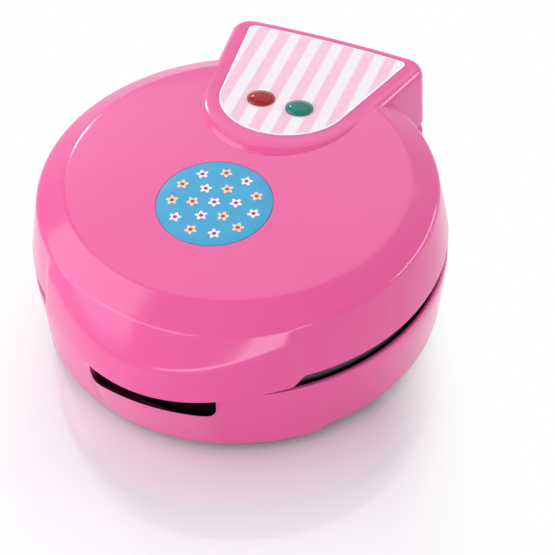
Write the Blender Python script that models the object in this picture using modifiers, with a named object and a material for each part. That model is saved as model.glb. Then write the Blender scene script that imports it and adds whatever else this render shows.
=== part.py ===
"""A cupcake maker for seven small cakes: two round moulded shells on a rear hinge, each with a baking
plate, a tubular heating element and a reflector. Metres, +Z up. The front with the grip lip faces -Y, the
hinge is at +Y, and the middle of the outline stands on the origin."""

import math

import bmesh
import bpy
from mathutils import Matrix, Vector

# Clearances and walls
CLEARANCE = 0.0003
RUNNING_CLEARANCE = 0.0003
OVERRUN = 0.004
MERGE_DISTANCE = 0.00001
SHELL_WALL = 0.0025

# Round body, from the table up
GROUND_CLEARANCE = 0.0046
FLOOR_ROOM_HEIGHT = 0.0102
SEAM_GAP = 0.0083
SIDE_RISE = 0.03
BAND_RISE = 0.0075
DOME_RISE = 0.0047
SKIRT_OVERHANG = 0.0001
SIDE_SLOPE_WIDTH = 0.0056
BAND_WIDTH = 0.0148
BASE_TAPER_WIDTH = 0.0031
EDGE_RADIUS = 0.0016
FOOT_EDGE_RADIUS = 0.004

# Grip lip of the lid, its side lobes, and the chin under it
LIP_REACH = 0.009
LIP_SIDE_REACH = 0.0018
LIP_DROP = 0.0064
LIP_SIDE_DROP = 0.0039
CREASE_REACH = 0.0096
CREASE_SIDE_REACH = 0.0018
CREASE_DROP = 0.0174
CREASE_SIDE_DROP = 0.0094
LIP_ANGLE = math.radians(36)
LIP_FADE_ANGLE = math.radians(7)
CHIN_REACH = 0.0078
CHIN_DROP = 0.0056
CHIN_FLAT_ANGLE = math.radians(12.5)
CHIN_FADE_ANGLE = math.radians(10.5)
CHIN_RIM_SHARE = 0.55
FRONT_BULGE_REACH = 0.002
FRONT_ANGLE = math.radians(44)

# Finger slot in the chin
SLOT_ANGLE = math.radians(18)
SLOT_DEPTH = 0.0066
SLOT_CORNER_RADIUS = 0.0035

# Panel boss and the block under it
REAR_REACH = 0.0202
PANEL_FRONT_RADIUS = 0.035
PANEL_LENGTH = 0.0597
PANEL_FLARE = math.radians(10.9)
PANEL_CORNER_RADIUS = 0.0035
PANEL_BOW_HEIGHT = 0.0018
PANEL_REAR_HALF_WIDTH = 0.045
PANEL_REAR_RIM_WIDTH = 0.0052
PANEL_DROP = 0.0023
PANEL_TILT_SHARE = 0.13
BOSS_CORNER_SHARE = 0.6
BOSS_RIM_WIDTH = 0.0044
BOSS_EDGE_RADIUS = 0.0054
BOSS_FRONT_SLOPE_LENGTH = 0.0098
BOSS_FOOT_REACH = 0.0018
BOSS_FOOT_HEIGHT = 0.0054
BOSS_DECK_THICKNESS = 0.0036
BLOCK_STEP_HEIGHT = 0.0020
LABEL_THICKNESS = 0.0006
LABEL_PROUD_HEIGHT = 0.0003

# Lamps
LAMP_SPACING = 0.0218
LAMP_INSET = 0.0068
LENS_RADIUS = 0.0073
LENS_RISE = 0.0028
LENS_STEM_RADIUS = 0.0046
LENS_STEM_LENGTH = 0.0120
LENS_BORE_RADIUS = 0.0030
CLIP_RADIUS = 0.0078
CLIP_THICKNESS = 0.0014
NEON_RADIUS = 0.0024
NEON_LENGTH = 0.0105

# Printed badge on the dome
BADGE_RADIUS = 0.029
BADGE_OFFSET = -0.0268
BADGE_THICKNESS = 0.0009
BADGE_PROUD_HEIGHT = 0.0002

# Baking plates
PLATE_THICKNESS = 0.0030
FLANGE_REACH = 0.0024
PLATE_INSET = 0.00075
PLATE_SKIRT_WALL = 0.0020
PLATE_SKIRT_DEPTH = 0.0205
UPPER_SKIRT_DEPTH = 0.0088
CUP_COUNT = 6
CUP_SPACING = 0.012
CUP_RADIUS = 0.025
CUP_MARGIN = 0.01325
CUP_FLOOR_RADIUS = 0.018
CUP_DEPTH = 0.024
CUP_EDGE_RADIUS = 0.0015
CUP_WALL = 0.0025
DOMES_DEPTH = 0.011
PLATE_BOSS_RADIUS = 0.005
PLATE_BOSS_INSET = 0.010
PLATE_BOSS_ANGLES = [math.radians(a) for a in (0, 180, 240, 300)]

# Heating elements
ELEMENT_RADIUS = 0.0032
ELEMENT_LEAD_INSET = 0.006
ELEMENT_LEAD_ANGLE = math.radians(30)
ELEMENT_BEND_RADIUS = 0.009
ELEMENT_BEND_SHARE = 1.25
STRAP_THICKNESS = 0.0006
STRAP_WIDTH = 0.006
STRAP_TAB_LENGTH = 0.0030
STRAP_WRAP = math.radians(150)
STRAP_ANGLES = [math.radians(a) for a in (0, 180, 240, 300)]

# Reflectors
REFLECTOR_THICKNESS = 0.0006
REFLECTOR_INSET = 0.01025
REFLECTOR_EDGE_REACH = 0.0025
REFLECTOR_EDGE_RISE = 0.004
REFLECTOR_GAP = 0.0034
UPPER_REFLECTOR_GAP = 0.0016

# Fasteners
SCREW_RADIUS = 0.0015
SCREW_HEAD_RADIUS = 0.0031
SCREW_HEAD_HEIGHT = 0.0022
PLATE_SCREW_LENGTH = 0.021
COVER_SCREW_LENGTH = 0.0085

# Bottom cover and feet
COVER_THICKNESS = 0.0023
COVER_MARGIN = 0.0032
HOUSING_LEDGE_THICKNESS = 0.0024
HOUSING_LEDGE_WIDTH = 0.0076
COVER_SCREW_ANGLES = [math.radians(a) for a in (20, 160, 200, 340)]
COVER_BOSS_RADIUS = 0.0040
COVER_BOSS_HEIGHT = 0.0060
POST_RADIUS = 0.0065
POST_SHELF_THICKNESS = 0.0034
FOOT_PAD_RADIUS = 0.008
FOOT_STUD_RADIUS = 0.0024
FOOT_BARB_RADIUS = 0.0034
FOOT_BARB_HEIGHT = 0.0016
FOOT_MARGIN = 0.002
VENT_COUNT = 6
VENT_LENGTH = 0.026
VENT_WIDTH = 0.003
VENT_PITCH = 0.008
VENT_ROW_OFFSET = 0.017

# Hinge
HINGE_RADIUS = 0.005
SHAFT_RADIUS = 0.0020
LID_KNUCKLE_LENGTH = 0.060
BASE_KNUCKLE_LENGTH = 0.0135
KNUCKLE_GAP = 0.0005
KNUCKLE_RELIEF_GAP = 0.0008
WEB_INSET = 0.0005
SHAFT_INSET = 0.001

# Electrical pieces
THERMOSTAT_RADIUS = 0.007
THERMOSTAT_HEIGHT = 0.008
THERMOSTAT_PIN_RADIUS = 0.0012
THERMOSTAT_PIN_LENGTH = 0.004
THERMOSTAT_PIN_SPACING = 0.006
THERMOSTAT_INSET = 0.00525
FUSE_RADIUS = 0.0020
FUSE_LENGTH = 0.014
FUSE_INSET = 0.01425
SENSOR_ANGLE = math.radians(30)
TERMINAL_SIZE = Vector((0.028, 0.0080, 0.0100))
TERMINAL_GAP = 0.0020
TERMINAL_SCREW_RADIUS = 0.0018
TERMINAL_SCREW_PITCH = 0.009
GLAND_OFFSET = -0.030
GLAND_RISE = 0.0130
GLAND_RADIUS = 0.0055
GLAND_FLANGE_RADIUS = 0.0075
GLAND_FLANGE_THICKNESS = 0.0020
GLAND_BORE_RADIUS = 0.0033
LEAD_RADIUS = 0.0011

# Counts of facets
FRONT_STEPS = 26
REAR_STEPS = 26
FRONT_SPAN = math.radians(46)
ROUND_SEGMENTS = 48
CUP_SEGMENTS = 16
SMALL_SEGMENTS = 12
TINY_SEGMENTS = 8
OUTLINE_STEPS = 14
CORNER_STEPS = 4
REAR_EDGE_STEPS = 6

# Heights worked out from the stack
HOUSING_FOOT_Z = GROUND_CLEARANCE
COVER_TOP_Z = HOUSING_FOOT_Z + COVER_THICKNESS
LEDGE_Z = COVER_TOP_Z + CLEARANCE
LEDGE_TOP_Z = LEDGE_Z + HOUSING_LEDGE_THICKNESS
LOWER_REFLECTOR_Z = COVER_TOP_Z + FLOOR_ROOM_HEIGHT
POST_TOP_Z = LOWER_REFLECTOR_Z - CLEARANCE
CUP_FOOT_Z = LOWER_REFLECTOR_Z + REFLECTOR_THICKNESS + REFLECTOR_GAP
LOWER_FACE_Z = CUP_FOOT_Z + CUP_WALL + CUP_DEPTH
LOWER_BACK_Z = LOWER_FACE_Z - PLATE_THICKNESS
UPPER_FACE_Z = LOWER_FACE_Z + CLEARANCE
UPPER_BACK_Z = UPPER_FACE_Z + PLATE_THICKNESS
DOMES_TOP_Z = UPPER_FACE_Z + DOMES_DEPTH + CUP_WALL
UPPER_REFLECTOR_Z = DOMES_TOP_Z + UPPER_REFLECTOR_GAP
SEAM_Z = (LOWER_FACE_Z + UPPER_FACE_Z) / 2
RIM_Z = SEAM_Z - SEAM_GAP / 2
SKIRT_Z = SEAM_Z + SEAM_GAP / 2
SHOULDER_Z = SKIRT_Z + SIDE_RISE
DISC_Z = SHOULDER_Z + BAND_RISE
APEX_Z = DISC_Z + DOME_RISE
PANEL_Z = APEX_Z - PANEL_DROP
BLOCK_TOP_Z = RIM_Z - BLOCK_STEP_HEIGHT
BLOCK_DECK_Z = BLOCK_TOP_Z - SHELL_WALL
BOSS_FOOT_Z = RIM_Z + BOSS_FOOT_HEIGHT
HINGE_Z = SEAM_Z
POCKET_TOP_Z = HINGE_Z + HINGE_RADIUS + KNUCKLE_RELIEF_GAP
BOSS_DECK_Z = POCKET_TOP_Z + BOSS_DECK_THICKNESS

# Radii worked out from the cups outwards
CUP_RING_RADIUS = 2 * CUP_RADIUS + CUP_SPACING
ELEMENT_RING_RADIUS = CUP_RADIUS + CUP_SPACING / 2
PLATE_INNER_RADIUS = CUP_RING_RADIUS + CUP_RADIUS + CUP_MARGIN
PLATE_SKIRT_RADIUS = PLATE_INNER_RADIUS + PLATE_SKIRT_WALL
FLANGE_RADIUS = PLATE_SKIRT_RADIUS + FLANGE_REACH
RIM_RADIUS = FLANGE_RADIUS + PLATE_INSET + SHELL_WALL
SKIRT_RADIUS = RIM_RADIUS + SKIRT_OVERHANG
SHOULDER_RADIUS = SKIRT_RADIUS - SIDE_SLOPE_WIDTH
DISC_RADIUS = SHOULDER_RADIUS - BAND_WIDTH
FOOT_RADIUS = RIM_RADIUS - BASE_TAPER_WIDTH
COVER_RADIUS = FOOT_RADIUS - COVER_MARGIN
HOUSING_LEDGE_RADIUS = COVER_RADIUS - HOUSING_LEDGE_WIDTH
COVER_SCREW_RING_RADIUS = (COVER_RADIUS + HOUSING_LEDGE_RADIUS) / 2
FOOT_RING_RADIUS = HOUSING_LEDGE_RADIUS - FOOT_PAD_RADIUS - FOOT_MARGIN
REFLECTOR_RADIUS = PLATE_INNER_RADIUS - REFLECTOR_INSET
PLATE_BOSS_RING_RADIUS = REFLECTOR_RADIUS - PLATE_BOSS_INSET
ELEMENT_LEAD_END = PLATE_BOSS_RING_RADIUS - ELEMENT_LEAD_INSET
THERMOSTAT_RING_RADIUS = PLATE_INNER_RADIUS - THERMOSTAT_RADIUS - THERMOSTAT_INSET
FUSE_RING_RADIUS = PLATE_INNER_RADIUS - FUSE_INSET

# Places behind the round body
REAR_Y = SKIRT_RADIUS + REAR_REACH
HINGE_Y = REAR_Y - HINGE_RADIUS
PANEL_REAR_Y = REAR_Y - PANEL_REAR_RIM_WIDTH - PANEL_BOW_HEIGHT
PANEL_FRONT_CENTRE_Y = PANEL_REAR_Y - PANEL_LENGTH
LAMP_Y = PANEL_FRONT_CENTRE_Y - LAMP_INSET
OUTLINE_SHIFT = (REAR_Y - SKIRT_RADIUS - LIP_REACH) / 2

# Places of the pieces that are repeated
CUP_PLACES = [Vector((0, 0))] + [
    CUP_RING_RADIUS * Vector((math.sin(2 * math.pi * i / CUP_COUNT), math.cos(2 * math.pi * i / CUP_COUNT)))
    for i in range(CUP_COUNT)
]


def at_angle(radius, angle):
    """The plan point at that distance from the centre, its angle counted from +X."""
    return Vector((radius * math.cos(angle), radius * math.sin(angle)))


BOSS_PLACES = [at_angle(PLATE_BOSS_RING_RADIUS, a) for a in PLATE_BOSS_ANGLES]
COVER_SCREW_PLACES = [at_angle(COVER_SCREW_RING_RADIUS, a) for a in COVER_SCREW_ANGLES]
FOOT_PLACES = {
    "foot_front_left": at_angle(FOOT_RING_RADIUS, math.radians(225)),
    "foot_front_right": at_angle(FOOT_RING_RADIUS, math.radians(315)),
    "foot_rear_left": at_angle(FOOT_RING_RADIUS, math.radians(135)),
    "foot_rear_right": at_angle(FOOT_RING_RADIUS, math.radians(45)),
}
LAMP_PLACES = {
    "power_lens": Vector((-LAMP_SPACING / 2, LAMP_Y)),
    "ready_lens": Vector((LAMP_SPACING / 2, LAMP_Y)),
}


# Scene and materials


def start_scene():
    """Removes what the scene holds and makes the collections for the parts and for the cutters."""
    for old in list(bpy.data.objects):
        bpy.data.objects.remove(old)
    made = []
    for name in ("cupcake_maker", "cutters"):
        collection = bpy.data.collections.new(name)
        bpy.context.scene.collection.children.link(collection)
        made.append(collection)
    return made


PARTS, CUTTERS = start_scene()


def plain_material(name, colour, roughness, metallic=0.0):
    material = bpy.data.materials.new(name)
    material.use_nodes = True
    shader = material.node_tree.nodes["Principled BSDF"]
    shader.inputs["Base Color"].default_value = (*colour, 1)
    shader.inputs["Roughness"].default_value = roughness
    shader.inputs["Metallic"].default_value = metallic
    return material


PINK = plain_material("pink_plastic", (0.86, 0.10, 0.32), 0.22)
BLACK = plain_material("black_plastic", (0.02, 0.02, 0.02), 0.5)
COATING = plain_material("non_stick_coating", (0.03, 0.03, 0.032), 0.38)
STEEL = plain_material("bright_steel", (0.62, 0.62, 0.62), 0.3, 1.0)
SHEATH = plain_material("element_sheath", (0.30, 0.29, 0.28), 0.45, 1.0)
ALUMINIUM = plain_material("reflector_sheet", (0.75, 0.75, 0.76), 0.35, 1.0)
RUBBER = plain_material("grey_rubber", (0.08, 0.08, 0.08), 0.8)
LABEL = plain_material("striped_film", (0.92, 0.82, 0.86), 0.35)
BADGE = plain_material("blue_print", (0.08, 0.45, 0.75), 0.35)
RED = plain_material("red_lens", (0.55, 0.01, 0.01), 0.15)
GREEN = plain_material("green_lens", (0.0, 0.30, 0.18), 0.15)
GLASS = plain_material("lamp_glass", (0.85, 0.80, 0.75), 0.1)
CERAMIC = plain_material("white_ceramic", (0.85, 0.84, 0.80), 0.5)
INSULATION = plain_material("lead_insulation", (0.75, 0.74, 0.70), 0.6)


# Modelling helpers


def mesh_object(name, bm, material=None):
    """An object from a bmesh, in the parts if it has a material, and a hidden cutter if it has none."""
    bmesh.ops.recalc_face_normals(bm, faces=bm.faces[:])
    if bm.calc_volume(signed=True) < 0:
        bmesh.ops.reverse_faces(bm, faces=bm.faces[:])
    mesh = bpy.data.meshes.new(name)
    bm.to_mesh(mesh)
    bm.free()
    thing = bpy.data.objects.new(name, mesh)
    if material is None:
        CUTTERS.objects.link(thing)
        thing.hide_render = True
        thing.display_type = "WIRE"
    else:
        PARTS.objects.link(thing)
        mesh.materials.append(material)
        mesh.shade_smooth()
        mesh.set_sharp_from_angle(angle=math.radians(35))
    return thing


def skin(name, rings, material=None):
    """A closed body through a stack of rings with equal counts of points, with a flat cap on each end."""
    bm = bmesh.new()
    rows = [[bm.verts.new(point) for point in ring] for ring in rings]
    for low, high in zip(rows, rows[1:]):
        for i in range(len(low)):
            j = (i + 1) % len(low)
            bm.faces.new((low[i], low[j], high[j], high[i]))
    bm.faces.new(rows[0])
    bm.faces.new(rows[-1])
    return mesh_object(name, bm, material)


def add_cylinder(bm, radius, low, high, place, segments, top_radius=None):
    """Adds an upright cylinder from low to high, or a cone where the top has a radius of its own."""
    middle = Matrix.Translation((place[0], place[1], (low + high) / 2))
    bmesh.ops.create_cone(
        bm,
        cap_ends=True,
        segments=segments,
        radius1=radius,
        radius2=radius if top_radius is None else top_radius,
        depth=high - low,
        matrix=middle,
    )


def cylinders(name, radius, low, high, places, segments=SMALL_SEGMENTS):
    """One hidden body of equal upright cylinders at the places."""
    bm = bmesh.new()
    for place in places:
        add_cylinder(bm, radius, low, high, place, segments)
    return mesh_object(name, bm)


def screw_holes(name, low, high, places):
    """Holes that the screws pass through."""
    return cylinders(name, SCREW_RADIUS + CLEARANCE, low, high, places, TINY_SEGMENTS)


def cross_cylinder(name, radius, low_x, high_x, y, z, segments=SMALL_SEGMENTS):
    """A hidden cylinder that lies along X."""
    bm = bmesh.new()
    turn = Matrix.Rotation(math.radians(90), 4, "Y")
    matrix = Matrix.Translation(((low_x + high_x) / 2, y, z)) @ turn
    bmesh.ops.create_cone(
        bm,
        cap_ends=True,
        segments=segments,
        radius1=radius,
        radius2=radius,
        depth=high_x - low_x,
        matrix=matrix,
    )
    return mesh_object(name, bm)


def add_box(bm, low, high):
    low, high = Vector(low), Vector(high)
    size = high - low
    matrix = Matrix.Translation((low + high) / 2) @ Matrix.Diagonal((*size, 1))
    bmesh.ops.create_cube(bm, size=1, matrix=matrix)


def boxes(name, corners, material=None):
    """One body of boxes, each given by its lowest and its highest corner."""
    bm = bmesh.new()
    for low, high in corners:
        add_box(bm, low, high)
    return mesh_object(name, bm, material)


def combine(thing, other, operation):
    """Joins the other body (UNION), cuts it away (DIFFERENCE) or keeps the overlap (INTERSECT)."""
    modifier = thing.modifiers.new(operation.lower(), "BOOLEAN")
    modifier.operation = operation
    modifier.object = other
    return thing


def join_all(thing, *others):
    for other in others:
        combine(thing, other, "UNION")


def cut_all(thing, *others):
    for other in others:
        combine(thing, other, "DIFFERENCE")


def turned_mesh(name, profile, segments):
    """The mesh of a profile of (radius, height) pairs, turned about Z. It runs down the outer side."""
    mesh = bpy.data.meshes.new(name)
    edges = [(i, i + 1) for i in range(len(profile) - 1)]
    if profile[0][0] > 0:
        edges.append((len(profile) - 1, 0))
    mesh.from_pydata([(radius, 0, height) for radius, height in profile], edges, [])
    thing = bpy.data.objects.new(name, mesh)
    CUTTERS.objects.link(thing)
    screw = thing.modifiers.new("turn", "SCREW")
    screw.steps = segments
    screw.render_steps = segments
    screw.use_merge_vertices = True
    screw.merge_threshold = MERGE_DISTANCE
    bpy.context.view_layer.update()
    result = bpy.data.meshes.new_from_object(thing.evaluated_get(bpy.context.evaluated_depsgraph_get()))
    bpy.data.objects.remove(thing)
    return result


def upright(place):
    """The frame of a piece that stands at the place."""
    return Matrix.Translation((place[0], place[1], 0))


def turned(name, profile, places, segments, material=None, frame=upright):
    """A turned body at each of the places, as one object. The frame gives the matrix for a place."""
    mesh = turned_mesh(name, profile, segments)
    bm = bmesh.new()
    for place in places:
        before = len(bm.verts)
        bm.from_mesh(mesh)
        bm.verts.ensure_lookup_table()
        bmesh.ops.transform(bm, matrix=frame(place), verts=bm.verts[before:])
    return mesh_object(name, bm, material)


def turned_copies(name, profile, places, segments, material, frame=upright):
    """The same turned piece at each place, each copy its own object with a number after its name."""
    for number, place in enumerate(places, 1):
        turned(f"{name}_{number}", profile, [place], segments, material, frame)


def tube(name, route, radius, material, resolution=2):
    """A round rod along the route, with closed ends."""
    curve = bpy.data.curves.new(name, "CURVE")
    curve.dimensions = "3D"
    curve.bevel_depth = radius
    curve.bevel_resolution = resolution
    curve.use_fill_caps = True
    spline = curve.splines.new("POLY")
    spline.points.add(len(route) - 1)
    for point, place in zip(spline.points, route):
        point.co = (*place, 1)
    thing = bpy.data.objects.new(name, curve)
    CUTTERS.objects.link(thing)
    bpy.context.view_layer.update()
    mesh = bpy.data.meshes.new_from_object(thing.evaluated_get(bpy.context.evaluated_depsgraph_get()))
    bpy.data.objects.remove(thing)
    bm = bmesh.new()
    bm.from_mesh(mesh)
    bmesh.ops.remove_doubles(bm, verts=bm.verts[:], dist=MERGE_DISTANCE)
    return mesh_object(name, bm, material)


def arc(centre, radius, start, end, steps):
    """Plan points on an arc, both ends included."""
    return [centre + at_angle(radius, start + (end - start) * i / steps) for i in range(steps + 1)]


def rounded_corner(before, corner, after, radius, steps):
    """Points of a bend of that radius in place of the corner between two straight runs in space."""
    into = (corner - before).normalized()
    out = (after - corner).normalized()
    half = into.angle(out) / 2
    reach = radius * math.tan(half)
    start = corner - into * reach
    across = (out - into).normalized()
    centre = corner + across * radius / math.cos(half)
    spoke = start - centre
    axis = into.cross(out).normalized()
    return [centre + Matrix.Rotation(2 * half * i / steps, 3, axis) @ spoke for i in range(steps + 1)]


# Shape of the round body


def body_angles():
    """Angles round the body from the front, closer together over the grip lip. The front is -Y."""
    front = [-FRONT_SPAN + 2 * FRONT_SPAN * i / FRONT_STEPS for i in range(FRONT_STEPS)]
    rest = 2 * math.pi - 2 * FRONT_SPAN
    return front + [FRONT_SPAN + rest * i / REAR_STEPS for i in range(REAR_STEPS)]


def smooth_step(value):
    value = min(1.0, max(0.0, value))
    return value * value * (3 - 2 * value)


def off_front(angle):
    """How far an angle lies from the front, either way."""
    angle = abs(angle) % (2 * math.pi)
    return min(angle, 2 * math.pi - angle)


def swell(angle, span):
    """1 at the front, falling to 0 at the span."""
    share = min(1.0, off_front(angle) / span)
    return max(0.0, math.cos(share * math.pi / 2)) ** 1.5


def fade(angle, span, width):
    """1 inside the span, and 0 past the width beyond it."""
    return 1 - smooth_step((off_front(angle) - span) / width)


def ring(angles, place):
    """A ring of points, each at the (radius, height) that the function gives for its angle."""
    points = []
    for angle in angles:
        radius, height = place(angle)
        points.append((radius * math.sin(angle), -radius * math.cos(angle), height))
    return points


def dome_height(radius):
    """Height of the shallow domed top at a distance from the middle."""
    return APEX_Z - DOME_RISE * (radius / DISC_RADIUS) ** 2


def side_radius(height):
    """Radius of the lid's sloping side wall at a height."""
    return SKIRT_RADIUS - (SKIRT_RADIUS - SHOULDER_RADIUS) * (height - SKIRT_Z) / SIDE_RISE


DOME_SHARES = (0.10, 0.50, 0.82)
BAND_SHARES = ((0.50, 0.42),)
SIDE_SHARES = (0.16, 0.28, 0.31, 0.60, 0.965, 1.0)
LIP_FACE_SHARES = ((0.42, 0.44), (0.90, 0.93), (1.0, 1.05))
LIP_BAND_SHARES = (0.45, 0.95, 1.0)


def lid_section(angle):
    """(radius, height) from the middle of the lid's top, over the shoulder, to its lower edge."""
    rows = [(share * DISC_RADIUS, dome_height(share * DISC_RADIUS)) for share in DOME_SHARES]
    disc_edge = (DISC_RADIUS, DISC_Z)
    shoulder = (SHOULDER_RADIUS, SHOULDER_Z)
    rows.append((DISC_RADIUS - EDGE_RADIUS, dome_height(DISC_RADIUS - EDGE_RADIUS)))
    rows.append((DISC_RADIUS + EDGE_RADIUS * 0.6, DISC_Z - EDGE_RADIUS * 0.4))
    for across, down in BAND_SHARES:
        rows.append(
            (
                disc_edge[0] + across * (shoulder[0] - disc_edge[0]),
                disc_edge[1] + down * (shoulder[1] - disc_edge[1]),
            )
        )
    rows.append((SHOULDER_RADIUS - EDGE_RADIUS, SHOULDER_Z + EDGE_RADIUS * 0.70))
    rows.append((side_radius(SHOULDER_Z - EDGE_RADIUS), SHOULDER_Z - EDGE_RADIUS))
    start = rows[-1]
    plain = [side_row(start, share) for share in SIDE_SHARES]
    pulled = lip_rows(start, angle)
    share = fade(angle, LIP_ANGLE, LIP_FADE_ANGLE)
    for (flat_r, flat_z), (lip_r, lip_z) in zip(plain, pulled):
        rows.append((flat_r + share * (lip_r - flat_r), flat_z + share * (lip_z - flat_z)))
    return rows


def side_row(start, share):
    height = start[1] + share * (SKIRT_Z - start[1])
    return (side_radius(height), height)


def lip_rows(start, angle):
    """The same rows where the grip lip is pulled out: a sloping face, a crease and an upright band."""
    weight = swell(angle, LIP_ANGLE)
    crease_z = SHOULDER_Z - CREASE_SIDE_DROP - weight * (CREASE_DROP - CREASE_SIDE_DROP)
    crease_r = side_radius(crease_z) + CREASE_SIDE_REACH + weight * (CREASE_REACH - CREASE_SIDE_REACH)
    foot_z = SKIRT_Z - LIP_SIDE_DROP - weight * (LIP_DROP - LIP_SIDE_DROP)
    foot_r = SKIRT_RADIUS + LIP_SIDE_REACH + weight * (LIP_REACH - LIP_SIDE_REACH)
    rows = []
    for across, down in LIP_FACE_SHARES:
        rows.append((start[0] + across * (crease_r - start[0]), start[1] + down * (crease_z - start[1])))
    for share in LIP_BAND_SHARES:
        rows.append((crease_r + share * (foot_r - crease_r), crease_z + share * (foot_z - crease_z)))
    return rows


def offset_section(rows, wall):
    """The section moved inwards by the wall, square to itself."""
    moved = []
    for i, (radius, height) in enumerate(rows):
        before = Vector(rows[max(0, i - 1)])
        after = Vector(rows[min(len(rows) - 1, i + 1)])
        along = (after - before).normalized()
        moved.append((max(radius + wall * along.y, radius * 0.5), height - wall * along.x))
    return moved


def lid_outer():
    """The lid's outside, filled down to above the seam, with a skirt that hangs below."""
    angles = body_angles()
    sections = [lid_section(angle) for angle in angles]
    rings = [list_ring(angles, sections, row) for row in range(len(sections[0]))]
    hem = SHELL_WALL + EDGE_RADIUS
    edge = [(radius - hem, height) for radius, height in (section[-1] for section in sections)]
    rings.append(list_ring(angles, [[place] for place in edge], 0))
    fill_z = SKIRT_Z + SIDE_RISE / 2
    inner = [[(radius - hem, fill_z)] for radius, height in edge]
    rings.append(list_ring(angles, inner, 0))
    return skin("lid_housing", rings, PINK)


def lid_cavity():
    """The hollow of the lid, open below."""
    angles = body_angles()
    sections = [offset_section(lid_section(angle)[1::2], SHELL_WALL) for angle in angles]
    rings = [list_ring(angles, sections, row) for row in range(len(sections[0]))]
    mouth = [[(section[-1][0], RIM_Z - OVERRUN)] for section in sections]
    rings.append(list_ring(angles, mouth, 0))
    return skin("lid_cavity", rings)


def list_ring(angles, sections, row):
    points = []
    for angle, section in zip(angles, sections):
        radius, height = section[row]
        points.append((radius * math.sin(angle), -radius * math.cos(angle), height))
    return points


CHIN_RISE_SHARES = (0.30, 0.62, 0.88, 1.0)


def base_section(angle):
    """(radius, height) of the base housing's outside, from its foot up to its rim."""
    bulge = FRONT_BULGE_REACH * fade(angle, FRONT_ANGLE, LIP_FADE_ANGLE)
    chin = CHIN_REACH * fade(angle, CHIN_FLAT_ANGLE, CHIN_FADE_ANGLE)
    chin_z = RIM_Z - CHIN_DROP
    foot_r = FOOT_RADIUS + bulge
    rows = [
        (foot_r - FOOT_EDGE_RADIUS, HOUSING_FOOT_Z),
        (foot_r - FOOT_EDGE_RADIUS * 0.3, HOUSING_FOOT_Z + FOOT_EDGE_RADIUS * 0.3),
        (foot_r, HOUSING_FOOT_Z + FOOT_EDGE_RADIUS),
    ]
    chin_r = RIM_RADIUS + chin
    low_r, low_z = rows[-1]
    for share in CHIN_RISE_SHARES:
        rows.append((low_r + share * (chin_r - low_r), low_z + share * (chin_z - low_z)))
    rim_r = RIM_RADIUS + chin * CHIN_RIM_SHARE
    rows.append((rim_r, RIM_Z - EDGE_RADIUS))
    rows.append((rim_r - EDGE_RADIUS * 0.5, RIM_Z))
    return rows


def base_outer():
    """The base housing's outside as a solid body."""
    angles = body_angles()
    sections = [base_section(angle) for angle in angles]
    rings = [list_ring(angles, sections, row) for row in range(len(sections[0]))]
    return skin("base_housing", rings, PINK)


def base_cavity():
    """The hollow of the base, open above."""
    angles = body_angles()
    sections = [hollow_section(base_section(angle)) for angle in angles]
    rings = [list_ring(angles, sections, row) for row in range(len(sections[0]))]
    return skin("base_cavity", rings)


def hollow_section(section):
    inner = [(radius - SHELL_WALL, height) for radius, height in section[3:-2]]
    foot = (section[2][0] - SHELL_WALL, LEDGE_TOP_Z)
    rim = section[-2][0] - SHELL_WALL
    return [foot] + inner + [(rim, section[-2][1]), (rim, RIM_Z + OVERRUN)]


# Outline of the panel, the boss round it and the block below


def panel_outline(side, front, rear):
    """Plan outline of the panel, each part of it moved outwards by its margin: a round front end, two
    flared sides and a slightly bowed rear edge with rounded corners."""
    centre = Vector((0, PANEL_FRONT_CENTRE_Y))
    right = []
    turn = math.pi / 2 - PANEL_FLARE
    steps = OUTLINE_STEPS // 2
    for i in range(steps + 1):
        angle = -math.pi / 2 + turn * i / steps
        facing = max(0.0, -math.sin(angle)) ** 3
        right.append(centre + at_angle(PANEL_FRONT_RADIUS + side + (front - side) * facing, angle))
    radius = PANEL_CORNER_RADIUS + BOSS_CORNER_SHARE * side
    corner = corner_centre(radius, side, rear)
    for i in range(CORNER_STEPS + 1):
        angle = -PANEL_FLARE + (math.pi / 2 + PANEL_FLARE) * i / CORNER_STEPS
        right.append(corner + at_angle(radius, angle))
    for i in range(1, REAR_EDGE_STEPS // 2):
        x = corner.x * (1 - 2 * i / REAR_EDGE_STEPS)
        right.append(Vector((x, PANEL_REAR_Y + rear + rear_bow(x))))
    left = [Vector((-p.x, p.y)) for p in reversed(right[1:])]
    middle = Vector((0, PANEL_REAR_Y + rear + rear_bow(0)))
    return right + [middle] + left


def corner_centre(radius, side, rear):
    """Where the round of a rear corner has its centre, between the flared side and the rear edge."""
    y = PANEL_REAR_Y + rear - radius
    reach = PANEL_FRONT_RADIUS + side - radius + (y - PANEL_FRONT_CENTRE_Y) * math.sin(PANEL_FLARE)
    return Vector((reach / math.cos(PANEL_FLARE), y))


def rear_bow(x):
    """How far the bowed rear edge stands out at that distance from the middle."""
    return PANEL_BOW_HEIGHT * (1 - (x / PANEL_REAR_HALF_WIDTH) ** 2)


def rear_wall_y(x):
    """Where the outside of the rear wall lies, below the boss's rounded rim."""
    return PANEL_REAR_Y + PANEL_REAR_RIM_WIDTH + rear_bow(x)


def panel_height(y):
    """Height of the label's top, which slopes down to the rear."""
    return PANEL_Z - PANEL_TILT_SHARE * (y - PANEL_FRONT_CENTRE_Y)


def level_ring(height, side, front, rear):
    """A flat outline at a height."""
    return [(p.x, p.y, height) for p in panel_outline(side, front, rear)]


def sloping_ring(below, side, front, rear):
    """An outline that lies that far below the label's top all along."""
    return [(p.x, p.y, panel_height(p.y) - below) for p in panel_outline(side, front, rear)]


def panel_matrix(place):
    """The frame of a lamp: on the label's top, square to it."""
    slope = Matrix.Rotation(-math.atan(PANEL_TILT_SHARE), 4, "X")
    return Matrix.Translation((place[0], place[1], panel_height(place[1]))) @ slope


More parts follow.
